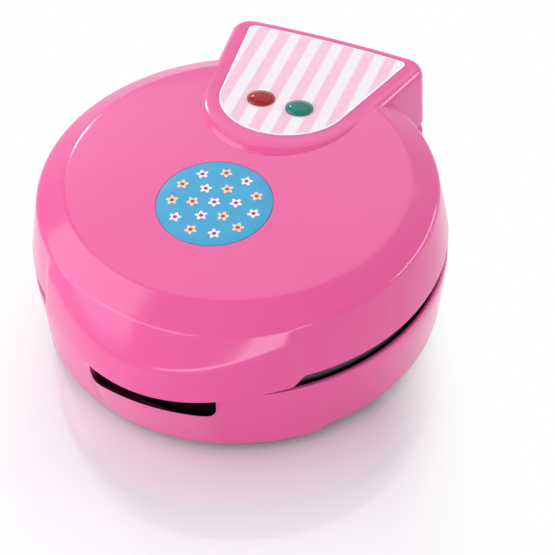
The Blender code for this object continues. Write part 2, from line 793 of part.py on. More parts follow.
def boss_rings(wall):
    """Rings of the boss from its foot to its top, moved inwards by the wall. Its top edge is rounded,
    and it slopes down to the dome at the front."""
    out = BOSS_RIM_WIDTH + BOSS_EDGE_RADIUS
    slope = BOSS_RIM_WIDTH + BOSS_FRONT_SLOPE_LENGTH
    rear = PANEL_REAR_RIM_WIDTH
    top = LABEL_PROUD_HEIGHT + wall
    low = BOSS_FOOT_Z if wall == 0 else BOSS_DECK_Z
    knee = slope - BOSS_FRONT_SLOPE_LENGTH * 0.6
    bend = out - BOSS_EDGE_RADIUS * 0.18
    brow = out - BOSS_EDGE_RADIUS * 0.6
    crest = rear - EDGE_RADIUS * 0.5
    return [
        level_ring(low, out + BOSS_FOOT_REACH - wall, slope + BOSS_FOOT_REACH - wall, rear - wall),
        sloping_ring(top + BOSS_EDGE_RADIUS, out - wall, slope - wall, rear - wall),
        sloping_ring(top + BOSS_EDGE_RADIUS * 0.42, bend - wall, slope - wall, rear - wall),
        sloping_ring(top + BOSS_EDGE_RADIUS * 0.1, brow - wall, knee - wall, rear - wall),
        sloping_ring(top, BOSS_RIM_WIDTH - wall, BOSS_RIM_WIDTH - wall, crest - wall),
    ]


def block_rings(wall, low, high):
    """Rings of the block at the rear of the base, which continues the boss downwards."""
    side = BOSS_RIM_WIDTH + BOSS_EDGE_RADIUS + BOSS_FOOT_REACH - wall
    rear = PANEL_REAR_RIM_WIDTH - wall
    chamfer = FOOT_EDGE_RADIUS * 0.3
    if wall > 0:
        return [level_ring(low, side, side, rear), level_ring(high, side, side, rear)]
    return [
        level_ring(low, side - FOOT_EDGE_RADIUS, side, rear - FOOT_EDGE_RADIUS),
        level_ring(low + chamfer, side - chamfer, side, rear - chamfer),
        level_ring(low + FOOT_EDGE_RADIUS, side, side, rear),
        level_ring(high - EDGE_RADIUS, side, side, rear),
        level_ring(high, side - EDGE_RADIUS * 0.5, side, rear - EDGE_RADIUS * 0.5),
    ]


# Housings


def hinge_pocket_corners():
    """The room under the boss for the knuckles: between the lid's round wall and the boss's rear wall."""
    half = LID_KNUCKLE_LENGTH / 2 + KNUCKLE_GAP + BASE_KNUCKLE_LENGTH + KNUCKLE_GAP
    front = HINGE_Y - HINGE_RADIUS - KNUCKLE_RELIEF_GAP
    return (-half, front, BOSS_FOOT_Z - OVERRUN), (half, REAR_Y - SHELL_WALL, POCKET_TOP_Z)


def knuckle_notches():
    """Gaps in the lid's rear wall that the base's knuckles turn in."""
    start = LID_KNUCKLE_LENGTH / 2 + KNUCKLE_GAP - CLEARANCE
    end = LID_KNUCKLE_LENGTH / 2 + KNUCKLE_GAP + BASE_KNUCKLE_LENGTH + KNUCKLE_GAP
    front = HINGE_Y - HINGE_RADIUS - KNUCKLE_RELIEF_GAP
    low = BOSS_FOOT_Z - OVERRUN
    return [
        ((start, front, low), (end, REAR_Y + OVERRUN, POCKET_TOP_Z)),
        ((-end, front, low), (-start, REAR_Y + OVERRUN, POCKET_TOP_Z)),
    ]


def make_lid_housing():
    """The lid's shell: a domed body with its grip lip, the hollow boss, the knuckle with the web that
    holds it, and the screw posts."""
    lid = lid_outer()
    join_all(lid, skin("boss_outside", boss_rings(0)))
    cut_all(lid, lid_cavity(), skin("boss_hollow", boss_rings(SHELL_WALL)))
    half = LID_KNUCKLE_LENGTH / 2
    barrel = cross_cylinder("lid_knuckle", HINGE_RADIUS, -half, half, HINGE_Y, HINGE_Z)
    web_half = half - WEB_INSET
    web_top = (web_half, REAR_Y - SHELL_WALL / 2, POCKET_TOP_Z + SHELL_WALL / 2)
    web = boxes("lid_web", [((-web_half, HINGE_Y - HINGE_RADIUS / 2, HINGE_Z), web_top)])
    post_low = UPPER_REFLECTOR_Z + REFLECTOR_THICKNESS + CLEARANCE
    post_high = dome_height(PLATE_BOSS_RING_RADIUS) - SHELL_WALL / 2
    posts = cylinders("lid_posts", PLATE_BOSS_RADIUS, post_low, post_high, BOSS_PLACES)
    pocket = boxes("hinge_pocket", [hinge_pocket_corners()])
    notches = boxes("knuckle_notches", knuckle_notches())
    cut_all(lid, pocket, notches)
    join_all(lid, barrel, web, posts)
    reach = half + OVERRUN
    bore = cross_cylinder("lid_bore", SHAFT_RADIUS + RUNNING_CLEARANCE, -reach, reach, HINGE_Y, HINGE_Z)
    pilot_top = post_high - SHELL_WALL * 2
    pilots = screw_holes("lid_pilots", post_low - OVERRUN, pilot_top, BOSS_PLACES)
    cut_all(lid, bore, pilots, label_recess(), lamp_holes("lamp_holes"), badge_recess())


def label_recess():
    """The shallow recess in the boss that the label lies in."""
    floor = LABEL_THICKNESS + CLEARANCE
    margin = CLEARANCE
    low = sloping_ring(floor, margin, margin, margin)
    return skin("label_recess", [low, sloping_ring(-OVERRUN, margin, margin, margin)])


def lamp_holes(name):
    """Holes for the stems of the two lenses, square to the label."""
    radius = LENS_STEM_RADIUS + CLEARANCE
    depth = LENS_STEM_LENGTH - OVERRUN
    profile = [(0, OVERRUN), (radius, OVERRUN), (radius, -depth), (0, -depth)]
    return turned(name, profile, LAMP_PLACES.values(), SMALL_SEGMENTS, frame=panel_matrix)


def dome_solid(name, rise):
    """A body under the domed top, raised by the rise."""
    angles = body_angles()
    rings = []
    for share in DOME_SHARES:
        radius = share * DISC_RADIUS
        rings.append(ring(angles, lambda angle, r=radius: (r, dome_height(r) + rise)))
    rings.append(ring(angles, lambda angle: (DOME_SHARES[-1] * DISC_RADIUS, SHOULDER_Z)))
    return skin(name, rings)


def badge_recess():
    """The shallow round recess that the badge lies in."""
    top = APEX_Z + OVERRUN
    place = [(0, BADGE_OFFSET)]
    recess = cylinders("badge_recess", BADGE_RADIUS + CLEARANCE, SHOULDER_Z, top, place, CUP_SEGMENTS * 2)
    under = dome_solid("badge_recess_floor", BADGE_PROUD_HEIGHT - BADGE_THICKNESS - CLEARANCE)
    combine(recess, under, "DIFFERENCE")
    return recess


def make_badge():
    """The round printed badge, curved with the dome and let into it."""
    bm = bmesh.new()
    low = SHOULDER_Z + OVERRUN
    add_cylinder(bm, BADGE_RADIUS, low, APEX_Z + OVERRUN, (0, BADGE_OFFSET), CUP_SEGMENTS * 2)
    badge = mesh_object("round_badge", bm, BADGE)
    combine(badge, dome_solid("badge_top", BADGE_PROUD_HEIGHT), "INTERSECT")
    combine(badge, dome_solid("badge_bottom", BADGE_PROUD_HEIGHT - BADGE_THICKNESS), "DIFFERENCE")


def make_label():
    """The striped film on the boss, with the two lamp holes."""
    label = skin("panel_label", [sloping_ring(LABEL_THICKNESS, 0, 0, 0), sloping_ring(0, 0, 0, 0)], LABEL)
    cut_all(label, lamp_holes("label_holes"))


def slot_cutter():
    """The finger slot: a notch down from the rim through the chin, with rounded lower corners."""
    floor = RIM_Z - SLOT_DEPTH
    half = (RIM_RADIUS + CHIN_REACH) * math.sin(SLOT_ANGLE)
    front = -(RIM_RADIUS + CHIN_REACH + OVERRUN)
    back = -(RIM_RADIUS - SHELL_WALL * 3)
    corner = Vector((half - SLOT_CORNER_RADIUS, floor + SLOT_CORNER_RADIUS))
    profile = [Vector((half, RIM_Z + OVERRUN))]
    for i in range(CORNER_STEPS + 1):
        profile.append(corner + at_angle(SLOT_CORNER_RADIUS, -math.pi / 2 * i / CORNER_STEPS))
    profile += [Vector((-p.x, p.y)) for p in reversed(profile)]
    rings = [[(p.x, y, p.y) for p in profile] for y in (front, back)]
    return skin("finger_slot", rings)


def make_base_housing():
    """The base's shell: its round wall with the chin and the finger slot, the rear block with its deck
    and knuckles, and the ledge that the bottom cover is screwed to."""
    base = base_outer()
    join_all(base, skin("block_outside", block_rings(0, HOUSING_FOOT_Z, BLOCK_TOP_Z)))
    hollow = skin("block_hollow", block_rings(SHELL_WALL, LEDGE_TOP_Z, BLOCK_DECK_Z))
    cut_all(base, base_cavity(), hollow, slot_cutter())
    centre = [(0, 0)]
    low = HOUSING_FOOT_Z - OVERRUN
    cover_seat = cylinders("cover_seat", COVER_RADIUS + CLEARANCE, low, LEDGE_Z, centre, ROUND_SEGMENTS)
    high = LEDGE_TOP_Z + OVERRUN
    mouth = cylinders("cover_mouth", HOUSING_LEDGE_RADIUS, low, high, centre, ROUND_SEGMENTS)
    cut_all(base, cover_seat, mouth)
    bosses = cylinders(
        "cover_bosses",
        COVER_BOSS_RADIUS,
        LEDGE_Z + CLEARANCE,
        LEDGE_TOP_Z + COVER_BOSS_HEIGHT,
        COVER_SCREW_PLACES,
        TINY_SEGMENTS,
    )
    join_all(base, bosses, *base_knuckles())
    pilot_top = LEDGE_TOP_Z + COVER_BOSS_HEIGHT - SHELL_WALL / 2
    pilots = screw_holes("cover_pilots", low, pilot_top, COVER_SCREW_PLACES)
    reach = LID_KNUCKLE_LENGTH / 2 + KNUCKLE_GAP + BASE_KNUCKLE_LENGTH + OVERRUN
    bore = cross_cylinder("base_bore", SHAFT_RADIUS + RUNNING_CLEARANCE, -reach, reach, HINGE_Y, HINGE_Z)
    cut_all(base, pilots, bore, gland_hole())


def base_knuckles():
    """Two knuckles that stand on the block's deck, each a web with a round top."""
    made = []
    near = LID_KNUCKLE_LENGTH / 2 + KNUCKLE_GAP
    far = near + BASE_KNUCKLE_LENGTH
    for side, low_x, high_x in (("right", near, far), ("left", -far, -near)):
        made.append(cross_cylinder(f"{side}_knuckle", HINGE_RADIUS, low_x, high_x, HINGE_Y, HINGE_Z))
        low = (low_x + WEB_INSET, HINGE_Y - HINGE_RADIUS + WEB_INSET, BLOCK_DECK_Z + CLEARANCE)
        high = (high_x - WEB_INSET, HINGE_Y + HINGE_RADIUS - KNUCKLE_RELIEF_GAP, HINGE_Z)
        made.append(boxes(f"{side}_web", [(low, high)]))
    return made


def gland_hole():
    bm = bmesh.new()
    turn = Matrix.Rotation(math.radians(90), 4, "X")
    matrix = Matrix.Translation((GLAND_OFFSET, REAR_Y, gland_height())) @ turn
    bmesh.ops.create_cone(
        bm,
        cap_ends=True,
        segments=SMALL_SEGMENTS,
        radius1=GLAND_RADIUS + CLEARANCE,
        radius2=GLAND_RADIUS + CLEARANCE,
        depth=4 * SHELL_WALL,
        matrix=matrix,
    )
    return mesh_object("gland_hole", bm)


def gland_height():
    return LEDGE_TOP_Z + GLAND_RISE


# Hinge shaft and cord gland


def make_hinge_shaft():
    """The steel rod through the knuckles of both housings."""
    half = LID_KNUCKLE_LENGTH / 2 + KNUCKLE_GAP + BASE_KNUCKLE_LENGTH - SHAFT_INSET
    route = [Vector((-half, HINGE_Y, HINGE_Z)), Vector((half, HINGE_Y, HINGE_Z))]
    tube("hinge_shaft", route, SHAFT_RADIUS, STEEL, 4)


def make_cord_gland():
    """The bushing in the rear wall for the cord: a flange inside and a sleeve through the wall."""
    rear = rear_wall_y(GLAND_OFFSET)
    inside = rear - rear_wall_y(abs(GLAND_OFFSET) + GLAND_FLANGE_RADIUS) + SHELL_WALL + CLEARANCE
    profile = [
        (GLAND_RADIUS, 0),
        (GLAND_RADIUS, -inside),
        (GLAND_FLANGE_RADIUS, -inside),
        (GLAND_FLANGE_RADIUS, -inside - GLAND_FLANGE_THICKNESS),
        (GLAND_BORE_RADIUS, -inside - GLAND_FLANGE_THICKNESS),
        (GLAND_BORE_RADIUS, 0),
    ]
    turn = Matrix.Rotation(math.radians(-90), 4, "X")
    matrix = Matrix.Translation((GLAND_OFFSET, rear, gland_height())) @ turn
    turned("cord_gland", profile, [matrix], SMALL_SEGMENTS, BLACK, Matrix)


# Baking plates


def plate_profile(face, back, skirt_end):
    """Section of a plate: a disc, its flange at the seam and a skirt that stands away from the face."""
    outward = 1 if face > back else -1
    flange_edge = face - outward * EDGE_RADIUS * 0.6
    flange_back = back - outward * CLEARANCE
    skirt_out = PLATE_SKIRT_RADIUS
    skirt_in = PLATE_SKIRT_RADIUS - PLATE_SKIRT_WALL
    rows = [
        (0, face),
        (FLANGE_RADIUS - EDGE_RADIUS * 0.6, face),
        (FLANGE_RADIUS, flange_edge),
        (FLANGE_RADIUS, flange_back),
        (skirt_out, flange_back),
        (skirt_out, skirt_end),
        (skirt_in, skirt_end),
        (skirt_in, back),
        (0, back),
    ]
    return rows if outward > 0 else list(reversed(rows))


def cup_shell_profile():
    """Outside of a cup, from inside the plate down to its floor."""
    mouth = CUP_RADIUS + CUP_WALL
    floor = CUP_FLOOR_RADIUS + CUP_WALL
    top = LOWER_FACE_Z - PLATE_THICKNESS / 2
    return [
        (0, top),
        (mouth, top),
        (mouth, LOWER_BACK_Z - CUP_EDGE_RADIUS),
        (floor, CUP_FOOT_Z + CUP_WALL),
        (floor - CUP_WALL, CUP_FOOT_Z),
        (0, CUP_FOOT_Z),
    ]


def cup_hollow_profile():
    """Inside of a cup, with a rounded mouth and floor."""
    floor = LOWER_FACE_Z - CUP_DEPTH
    flare = CUP_RADIUS + CUP_EDGE_RADIUS
    return [
        (0, LOWER_FACE_Z + OVERRUN),
        (flare, LOWER_FACE_Z + OVERRUN),
        (flare, LOWER_FACE_Z),
        (CUP_RADIUS, LOWER_FACE_Z - CUP_EDGE_RADIUS),
        (CUP_FLOOR_RADIUS, floor + CUP_EDGE_RADIUS),
        (CUP_FLOOR_RADIUS - CUP_EDGE_RADIUS, floor),
        (0, floor),
    ]


def make_lower_plate():
    """The lower baking plate with its seven cups and the bosses that it is screwed down by."""
    profile = plate_profile(LOWER_FACE_Z, LOWER_BACK_Z, LOWER_BACK_Z - PLATE_SKIRT_DEPTH)
    plate = turned("lower_baking_plate", profile, [(0, 0)], ROUND_SEGMENTS, COATING)
    shells = turned("cup_shells", cup_shell_profile(), CUP_PLACES, CUP_SEGMENTS)
    hollows = turned("cup_hollows", cup_hollow_profile(), CUP_PLACES, CUP_SEGMENTS)
    foot = LOWER_REFLECTOR_Z + REFLECTOR_THICKNESS + CLEARANCE
    bosses = cylinders("plate_bosses", PLATE_BOSS_RADIUS, foot, LOWER_BACK_Z + CLEARANCE, BOSS_PLACES)
    screw_top = plate_screw_seat() + PLATE_SCREW_LENGTH + CLEARANCE
    pilots = screw_holes("plate_pilots", foot - OVERRUN, screw_top, BOSS_PLACES)
    join_all(plate, shells, bosses)
    cut_all(plate, hollows, pilots)


def dome_profile(wall):
    """Section of a shallow domed cavity in the upper plate, or of its outside, from the top down."""
    rise = DOMES_DEPTH
    ball = (CUP_RADIUS**2 + rise**2) / (2 * rise)
    centre = UPPER_FACE_Z + rise - ball
    radius = ball + wall
    low = UPPER_FACE_Z - OVERRUN if wall == 0 else UPPER_FACE_Z + PLATE_THICKNESS / 2
    edge = math.acos((max(low, UPPER_FACE_Z) - centre) / radius)
    steps = CORNER_STEPS if wall == 0 else CORNER_STEPS // 2
    rows = [(0, centre + radius)]
    for i in range(1, steps + 1):
        angle = edge * i / steps
        rows.append((radius * math.sin(angle), centre + radius * math.cos(angle)))
    if wall == 0:
        rows.append((rows[-1][0], low))
    rows.append((0, low))
    return rows


def make_upper_plate():
    """The upper baking plate, with a shallow dome over each cup. It is screwed up into the lid."""
    profile = plate_profile(UPPER_FACE_Z, UPPER_BACK_Z, UPPER_BACK_Z + UPPER_SKIRT_DEPTH)
    plate = turned("upper_baking_plate", profile, [(0, 0)], ROUND_SEGMENTS, COATING)
    shells = turned("dome_shells", dome_profile(CUP_WALL), CUP_PLACES, CUP_SEGMENTS)
    hollows = turned("dome_hollows", dome_profile(0), CUP_PLACES, CUP_SEGMENTS)
    top = UPPER_REFLECTOR_Z - CLEARANCE
    bosses = cylinders("upper_bosses", PLATE_BOSS_RADIUS, UPPER_BACK_Z - CLEARANCE, top, BOSS_PLACES)
    holes = screw_holes("upper_holes", UPPER_FACE_Z - OVERRUN, top + OVERRUN, BOSS_PLACES)
    seats = cylinders(
        "upper_seats",
        SCREW_HEAD_RADIUS + CLEARANCE,
        UPPER_FACE_Z - OVERRUN,
        upper_screw_seat(),
        BOSS_PLACES,
        TINY_SEGMENTS,
    )
    join_all(plate, shells, bosses)
    cut_all(plate, hollows, holes, seats)


# Heating elements and their clips


def element_route(height):
    """An open ring between the cups, whose two ends turn outwards and run between the rear cups."""
    route = []
    for side in (1, -1):
        angle = math.pi / 2 - side * ELEMENT_LEAD_ANGLE
        outer = at_angle(ELEMENT_LEAD_END, angle)
        corner = at_angle(ELEMENT_RING_RADIUS, angle)
        beside = corner + at_angle(ELEMENT_BEND_RADIUS * 2, angle - side * math.pi / 2)
        run = [point.to_3d() for point in (outer, corner, beside)]
        bend = rounded_corner(*run, ELEMENT_BEND_RADIUS, CORNER_STEPS)
        route.append([run[0]] + bend)
    bend_angle = ELEMENT_BEND_RADIUS / ELEMENT_RING_RADIUS * ELEMENT_BEND_SHARE
    start = math.pi / 2 - ELEMENT_LEAD_ANGLE - bend_angle
    end = math.pi / 2 + ELEMENT_LEAD_ANGLE + bend_angle - 2 * math.pi
    steps = OUTLINE_STEPS * 2
    middle = [p.to_3d() for p in arc(Vector((0, 0)), ELEMENT_RING_RADIUS, start, end, steps)]
    whole = route[0] + middle + list(reversed(route[1]))
    return [Vector((p.x, p.y, height)) for p in whole]


def make_element(name, height):
    tube(name, element_route(height), ELEMENT_RADIUS, SHEATH, 2)


def make_strap(name, angle, height, outward):
    """A strap bent round the far side of the tube, with a tab on the plate beside it."""
    inner = ELEMENT_RADIUS + CLEARANCE
    outer = inner + STRAP_THICKNESS
    seat = ELEMENT_RADIUS
    edge = outer + STRAP_TAB_LENGTH
    middle = Vector((0, 0))
    outline = [Vector((inner, seat)), Vector((edge, seat)), Vector((edge, seat - STRAP_THICKNESS))]
    outline += [Vector((outer, seat - STRAP_THICKNESS))]
    outline += arc(middle, outer, 0, -STRAP_WRAP, CORNER_STEPS + 1)
    outline += arc(middle, inner, -STRAP_WRAP, 0, CORNER_STEPS + 1)
    along = at_angle(1, angle + math.pi / 2).to_3d()
    across = at_angle(1, angle).to_3d()
    middle = at_angle(ELEMENT_RING_RADIUS, angle).to_3d() + Vector((0, 0, height))
    rings = []
    for end in (-STRAP_WIDTH / 2, STRAP_WIDTH / 2):
        start = middle + along * end
        rings.append([start + across * p.x + Vector((0, 0, p.y * outward)) for p in outline])
    skin(name, rings, STEEL)


def make_straps(name, height, outward):
    for number, angle in enumerate(STRAP_ANGLES, 1):
        make_strap(f"{name}_{number}", angle, height, outward)


# Reflectors


def make_reflector(name, low, edge_rise):
    """A thin sheet disc with a turned edge, and the holes of the plate screws."""
    sheet = REFLECTOR_THICKNESS
    high = low + sheet
    edge = REFLECTOR_RADIUS + REFLECTOR_EDGE_REACH
    if edge_rise > 0:
        profile = [
            (0, high),
            (REFLECTOR_RADIUS - sheet, high),
            (edge - sheet, high + edge_rise),
            (edge, high + edge_rise),
            (REFLECTOR_RADIUS, low),
            (0, low),
        ]
    else:
        profile = [
            (0, high),
            (REFLECTOR_RADIUS, high),
            (edge, low + edge_rise),
            (edge - sheet, low + edge_rise),
            (REFLECTOR_RADIUS - sheet, low),
            (0, low),
        ]
    reflector = turned(name, profile, [(0, 0)], ROUND_SEGMENTS // 2, ALUMINIUM)
    cut_all(reflector, screw_holes(name + "_holes", low - OVERRUN, high + OVERRUN, BOSS_PLACES))


# Bottom cover, posts and feet


def plate_screw_seat():
    """Height of the shelf in the cover's posts that the lower plate's screw heads press on."""
    return POST_TOP_Z - POST_SHELF_THICKNESS


def upper_screw_seat():
    """Height that the heads of the upper plate's screws reach in the plate."""
    return UPPER_FACE_Z + SCREW_HEAD_HEIGHT + CLEARANCE * 2


def vent_corners():
    """Two rows of ventilation slots in the cover."""
    made = []
    for row in (-1, 1):
        for i in range(VENT_COUNT):
            x = (i - (VENT_COUNT - 1) / 2) * VENT_PITCH
            y = row * VENT_ROW_OFFSET
            low = (x - VENT_WIDTH / 2, y - VENT_LENGTH / 2, HOUSING_FOOT_Z - OVERRUN)
            high = (x + VENT_WIDTH / 2, y + VENT_LENGTH / 2, COVER_TOP_Z + OVERRUN)
            made.append((low, high))
    return made


def make_bottom_cover():
    """The flat cover with its vents, its screw holes and the four posts that carry the lower plate."""
    bm = bmesh.new()
    add_cylinder(bm, COVER_RADIUS, HOUSING_FOOT_Z, COVER_TOP_Z, (0, 0), ROUND_SEGMENTS)
    cover = mesh_object("bottom_cover", bm, BLACK)
    posts = cylinders("cover_posts", POST_RADIUS, HOUSING_FOOT_Z + CLEARANCE, POST_TOP_Z, BOSS_PLACES)
    wells = cylinders(
        "post_wells",
        SCREW_HEAD_RADIUS + CLEARANCE,
        HOUSING_FOOT_Z - OVERRUN,
        plate_screw_seat(),
        BOSS_PLACES,
        TINY_SEGMENTS,
    )
    bores = screw_holes("post_bores", HOUSING_FOOT_Z, POST_TOP_Z + OVERRUN, BOSS_PLACES)
    low = HOUSING_FOOT_Z - OVERRUN
    high = COVER_TOP_Z + OVERRUN
    cover_holes = screw_holes("cover_holes", low, high, COVER_SCREW_PLACES)
    stud_holes = cylinders(
        "stud_holes", FOOT_STUD_RADIUS + CLEARANCE, low, high, FOOT_PLACES.values(), TINY_SEGMENTS
    )
    join_all(cover, posts)
    cut_all(cover, wells, bores, cover_holes, stud_holes, boxes("vents", vent_corners()))


def make_feet():
    """A rubber foot at each corner, held by a barbed stud through the cover."""
    pad_top = HOUSING_FOOT_Z - CLEARANCE
    barb = COVER_TOP_Z + CLEARANCE
    profile = [
        (0, barb + FOOT_BARB_HEIGHT),
        (FOOT_STUD_RADIUS * 0.8, barb + FOOT_BARB_HEIGHT),
        (FOOT_BARB_RADIUS, barb),
        (FOOT_STUD_RADIUS, barb),
        (FOOT_STUD_RADIUS, pad_top),
        (FOOT_PAD_RADIUS - EDGE_RADIUS / 2, pad_top),
        (FOOT_PAD_RADIUS, pad_top - EDGE_RADIUS / 2),
        (FOOT_PAD_RADIUS, EDGE_RADIUS / 2),
        (FOOT_PAD_RADIUS - EDGE_RADIUS / 2, 0),
        (0, 0),
    ]
    for name, place in FOOT_PLACES.items():
        turned(name, profile, [place], SMALL_SEGMENTS, RUBBER)


# Screws


def screw_profile(seat, length):
    """A screw that points up, its head under the seat."""
    head = seat - SCREW_HEAD_HEIGHT
    tip = seat + length
    return [
        (0, tip),
        (SCREW_RADIUS * 0.4, tip),
        (SCREW_RADIUS, tip - SCREW_RADIUS),
        (SCREW_RADIUS, seat),
        (SCREW_HEAD_RADIUS, seat),
        (SCREW_HEAD_RADIUS * 0.8, head),
        (0, head),
    ]


def make_base_screws():
    """The screws of the lower plate and of the bottom cover."""
    lower = screw_profile(plate_screw_seat() - CLEARANCE, PLATE_SCREW_LENGTH)
    turned_copies("lower_plate_screw", lower, BOSS_PLACES, TINY_SEGMENTS, STEEL)
    cover = screw_profile(HOUSING_FOOT_Z - CLEARANCE, COVER_SCREW_LENGTH)
    turned_copies("cover_screw", cover, COVER_SCREW_PLACES, TINY_SEGMENTS, STEEL)


def make_lid_screws():
    """The screws of the upper plate."""
    upper = screw_profile(upper_screw_seat() - CLEARANCE, PLATE_SCREW_LENGTH)
    turned_copies("upper_plate_screw", upper, BOSS_PLACES, TINY_SEGMENTS, STEEL)


# Lamps


def make_lenses():
    """The two indicator lenses: a low dome on the label, and a hollow stem through the boss."""
    seat = CLEARANCE
    top = seat + LENS_RISE
    bottom = seat - LENS_STEM_LENGTH
    profile = [
        (0, top),
        (LENS_RADIUS * 0.45, top - LENS_RISE * 0.10),
        (LENS_RADIUS * 0.80, top - LENS_RISE * 0.42),
        (LENS_RADIUS, seat + LENS_RISE * 0.20),
        (LENS_RADIUS, seat),
        (LENS_STEM_RADIUS, seat),
        (LENS_STEM_RADIUS, bottom),
        (LENS_BORE_RADIUS, bottom),
        (LENS_BORE_RADIUS, seat - LENS_RISE * 0.2),
        (0, seat),
    ]
    for (name, place), material in zip(LAMP_PLACES.items(), (RED, GREEN)):
        turned(name, profile, [place], SMALL_SEGMENTS + 4, material, panel_matrix)


def make_lamp_details():
    """The push-on clips under the boss and the neon lamps in the lens stems."""
    clip_top = -LABEL_PROUD_HEIGHT - SHELL_WALL - CLEARANCE
    clip = [
        (CLIP_RADIUS, clip_top),
        (CLIP_RADIUS, clip_top - CLIP_THICKNESS),
        (LENS_STEM_RADIUS + CLEARANCE, clip_top - CLIP_THICKNESS),
        (LENS_STEM_RADIUS + CLEARANCE, clip_top),
    ]
    turned_copies("lens_clip", clip, LAMP_PLACES.values(), SMALL_SEGMENTS, STEEL, panel_matrix)
    top = -LENS_RISE * 0.2 - CLEARANCE
    neon = [
        (0, top),
        (NEON_RADIUS * 0.6, top - NEON_RADIUS * 0.2),
        (NEON_RADIUS, top - NEON_RADIUS),
        (NEON_RADIUS, top - NEON_LENGTH),
        (0, top - NEON_LENGTH),
    ]
    turned_copies("neon_lamp", neon, LAMP_PLACES.values(), TINY_SEGMENTS, GLASS, panel_matrix)


# Electrical pieces in the base


def make_thermostat():
    """The thermostat button against the back of the lower plate, with its two pins."""
    place = at_angle(THERMOSTAT_RING_RADIUS, math.pi / 2 + SENSOR_ANGLE)
    top = LOWER_BACK_Z - CLEARANCE
    low = top - THERMOSTAT_HEIGHT
    bm = bmesh.new()
    add_cylinder(bm, THERMOSTAT_RADIUS, low, top, place, SMALL_SEGMENTS)
    thermostat = mesh_object("thermostat", bm, CERAMIC)
    half = Vector((THERMOSTAT_PIN_SPACING / 2, 0))
    pins = cylinders(
        "thermostat_pins",
        THERMOSTAT_PIN_RADIUS,
        low - THERMOSTAT_PIN_LENGTH,
        low + CLEARANCE,
        [place - half, place + half],
        TINY_SEGMENTS,
    )
    join_all(thermostat, pins)


def make_thermal_fuse():
    """The thermal fuse that lies along the back of the lower plate."""
    angle = math.pi / 2 - SENSOR_ANGLE
    middle = at_angle(FUSE_RING_RADIUS, angle).to_3d()
    middle.z = LOWER_BACK_Z - CLEARANCE - FUSE_RADIUS
    along = at_angle(FUSE_LENGTH / 2, angle + math.pi / 2).to_3d()
    tube("thermal_fuse", [middle - along, middle + along], FUSE_RADIUS, CERAMIC, 2)


def make_terminal_block():
    """The terminal block on the floor of the rear block, with its screw wells."""
    rear = REAR_Y - SHELL_WALL - TERMINAL_GAP - PANEL_BOW_HEIGHT
    low = LEDGE_TOP_Z + CLEARANCE
    corner = Vector((-TERMINAL_SIZE.x / 2, rear - TERMINAL_SIZE.y, low))
    block = boxes("terminal_block", [(corner, corner + TERMINAL_SIZE)], CERAMIC)
    y = corner.y + TERMINAL_SIZE.y / 2
    places = [(i * TERMINAL_SCREW_PITCH, y) for i in (-1, 0, 1)]
    top = low + TERMINAL_SIZE.z
    floor = top - TERMINAL_SIZE.z / 2
    radius = TERMINAL_SCREW_RADIUS
    cut_all(block, cylinders("terminal_wells", radius, floor, top + OVERRUN, places, TINY_SEGMENTS))


def smooth_route(points, steps):
    """A smooth route through the points, at an even count of steps between each two."""
    route = []
    ends = [2 * points[0] - points[1]] + points + [2 * points[-1] - points[-2]]
    for i in range(1, len(ends) - 2):
        a, b, c, d = ends[i - 1 : i + 3]
        for step in range(steps):
            t = step / steps
            first = 2 * b + (c - a) * t
            second = (2 * a - 5 * b + 4 * c - d) * t**2
            third = (3 * b - a - 3 * c + d) * t**3
            route.append((first + second + third) / 2)
    return route + [points[-1]]


def make_base_leads():
    """The two insulated leads from the terminal block, under the plate's skirt, to the element's ends."""
    rear = REAR_Y - SHELL_WALL - TERMINAL_GAP - PANEL_BOW_HEIGHT
    front = rear - TERMINAL_SIZE.y - CLEARANCE - LEAD_RADIUS
    under_z = LOWER_BACK_Z - PLATE_SKIRT_DEPTH - CLEARANCE - 2 * LEAD_RADIUS
    over_z = LOWER_REFLECTOR_Z + REFLECTOR_THICKNESS + REFLECTOR_EDGE_RISE + CLEARANCE + 2 * LEAD_RADIUS
    element_z = LOWER_BACK_Z - CLEARANCE - ELEMENT_RADIUS
    for name, side in (("base_lead_right", 1), ("base_lead_left", -1)):
        start = Vector((side * TERMINAL_SCREW_PITCH, front, LEDGE_TOP_Z + TERMINAL_SIZE.z * 0.6))
        stages = (
            (PLATE_SKIRT_RADIUS - PLATE_SKIRT_WALL / 2, 0.30, under_z),
            (REFLECTOR_RADIUS + REFLECTOR_EDGE_REACH, 0.52, over_z),
            ((REFLECTOR_RADIUS + ELEMENT_LEAD_END) / 2, 0.80, (over_z + element_z) / 2),
            (ELEMENT_LEAD_END + ELEMENT_RADIUS, 1.0, element_z - ELEMENT_RADIUS / 2),
            (ELEMENT_LEAD_END + CLEARANCE + LEAD_RADIUS / 2, 1.0, element_z),
        )
        route = [start]
        for radius, turn_share, height in stages:
            place = at_angle(radius, math.pi / 2 - side * ELEMENT_LEAD_ANGLE * turn_share)
            route.append(Vector((place.x, place.y, height)))
        tube(name, smooth_route(route, CORNER_STEPS), LEAD_RADIUS, INSULATION, 1)


# The whole object


def build_base():
    """The pieces that stay on the table."""
    element_z = LOWER_BACK_Z - CLEARANCE - ELEMENT_RADIUS
    make_base_housing()
    make_bottom_cover()
    make_feet()
    make_lower_plate()
    make_element("lower_heating_element", element_z)
    make_straps("lower_element_strap", element_z, 1)
    make_reflector("lower_reflector", LOWER_REFLECTOR_Z, REFLECTOR_EDGE_RISE)
    make_base_screws()
    make_hinge_shaft()
    make_cord_gland()
    make_thermostat()
    make_thermal_fuse()
    make_terminal_block()
    make_base_leads()


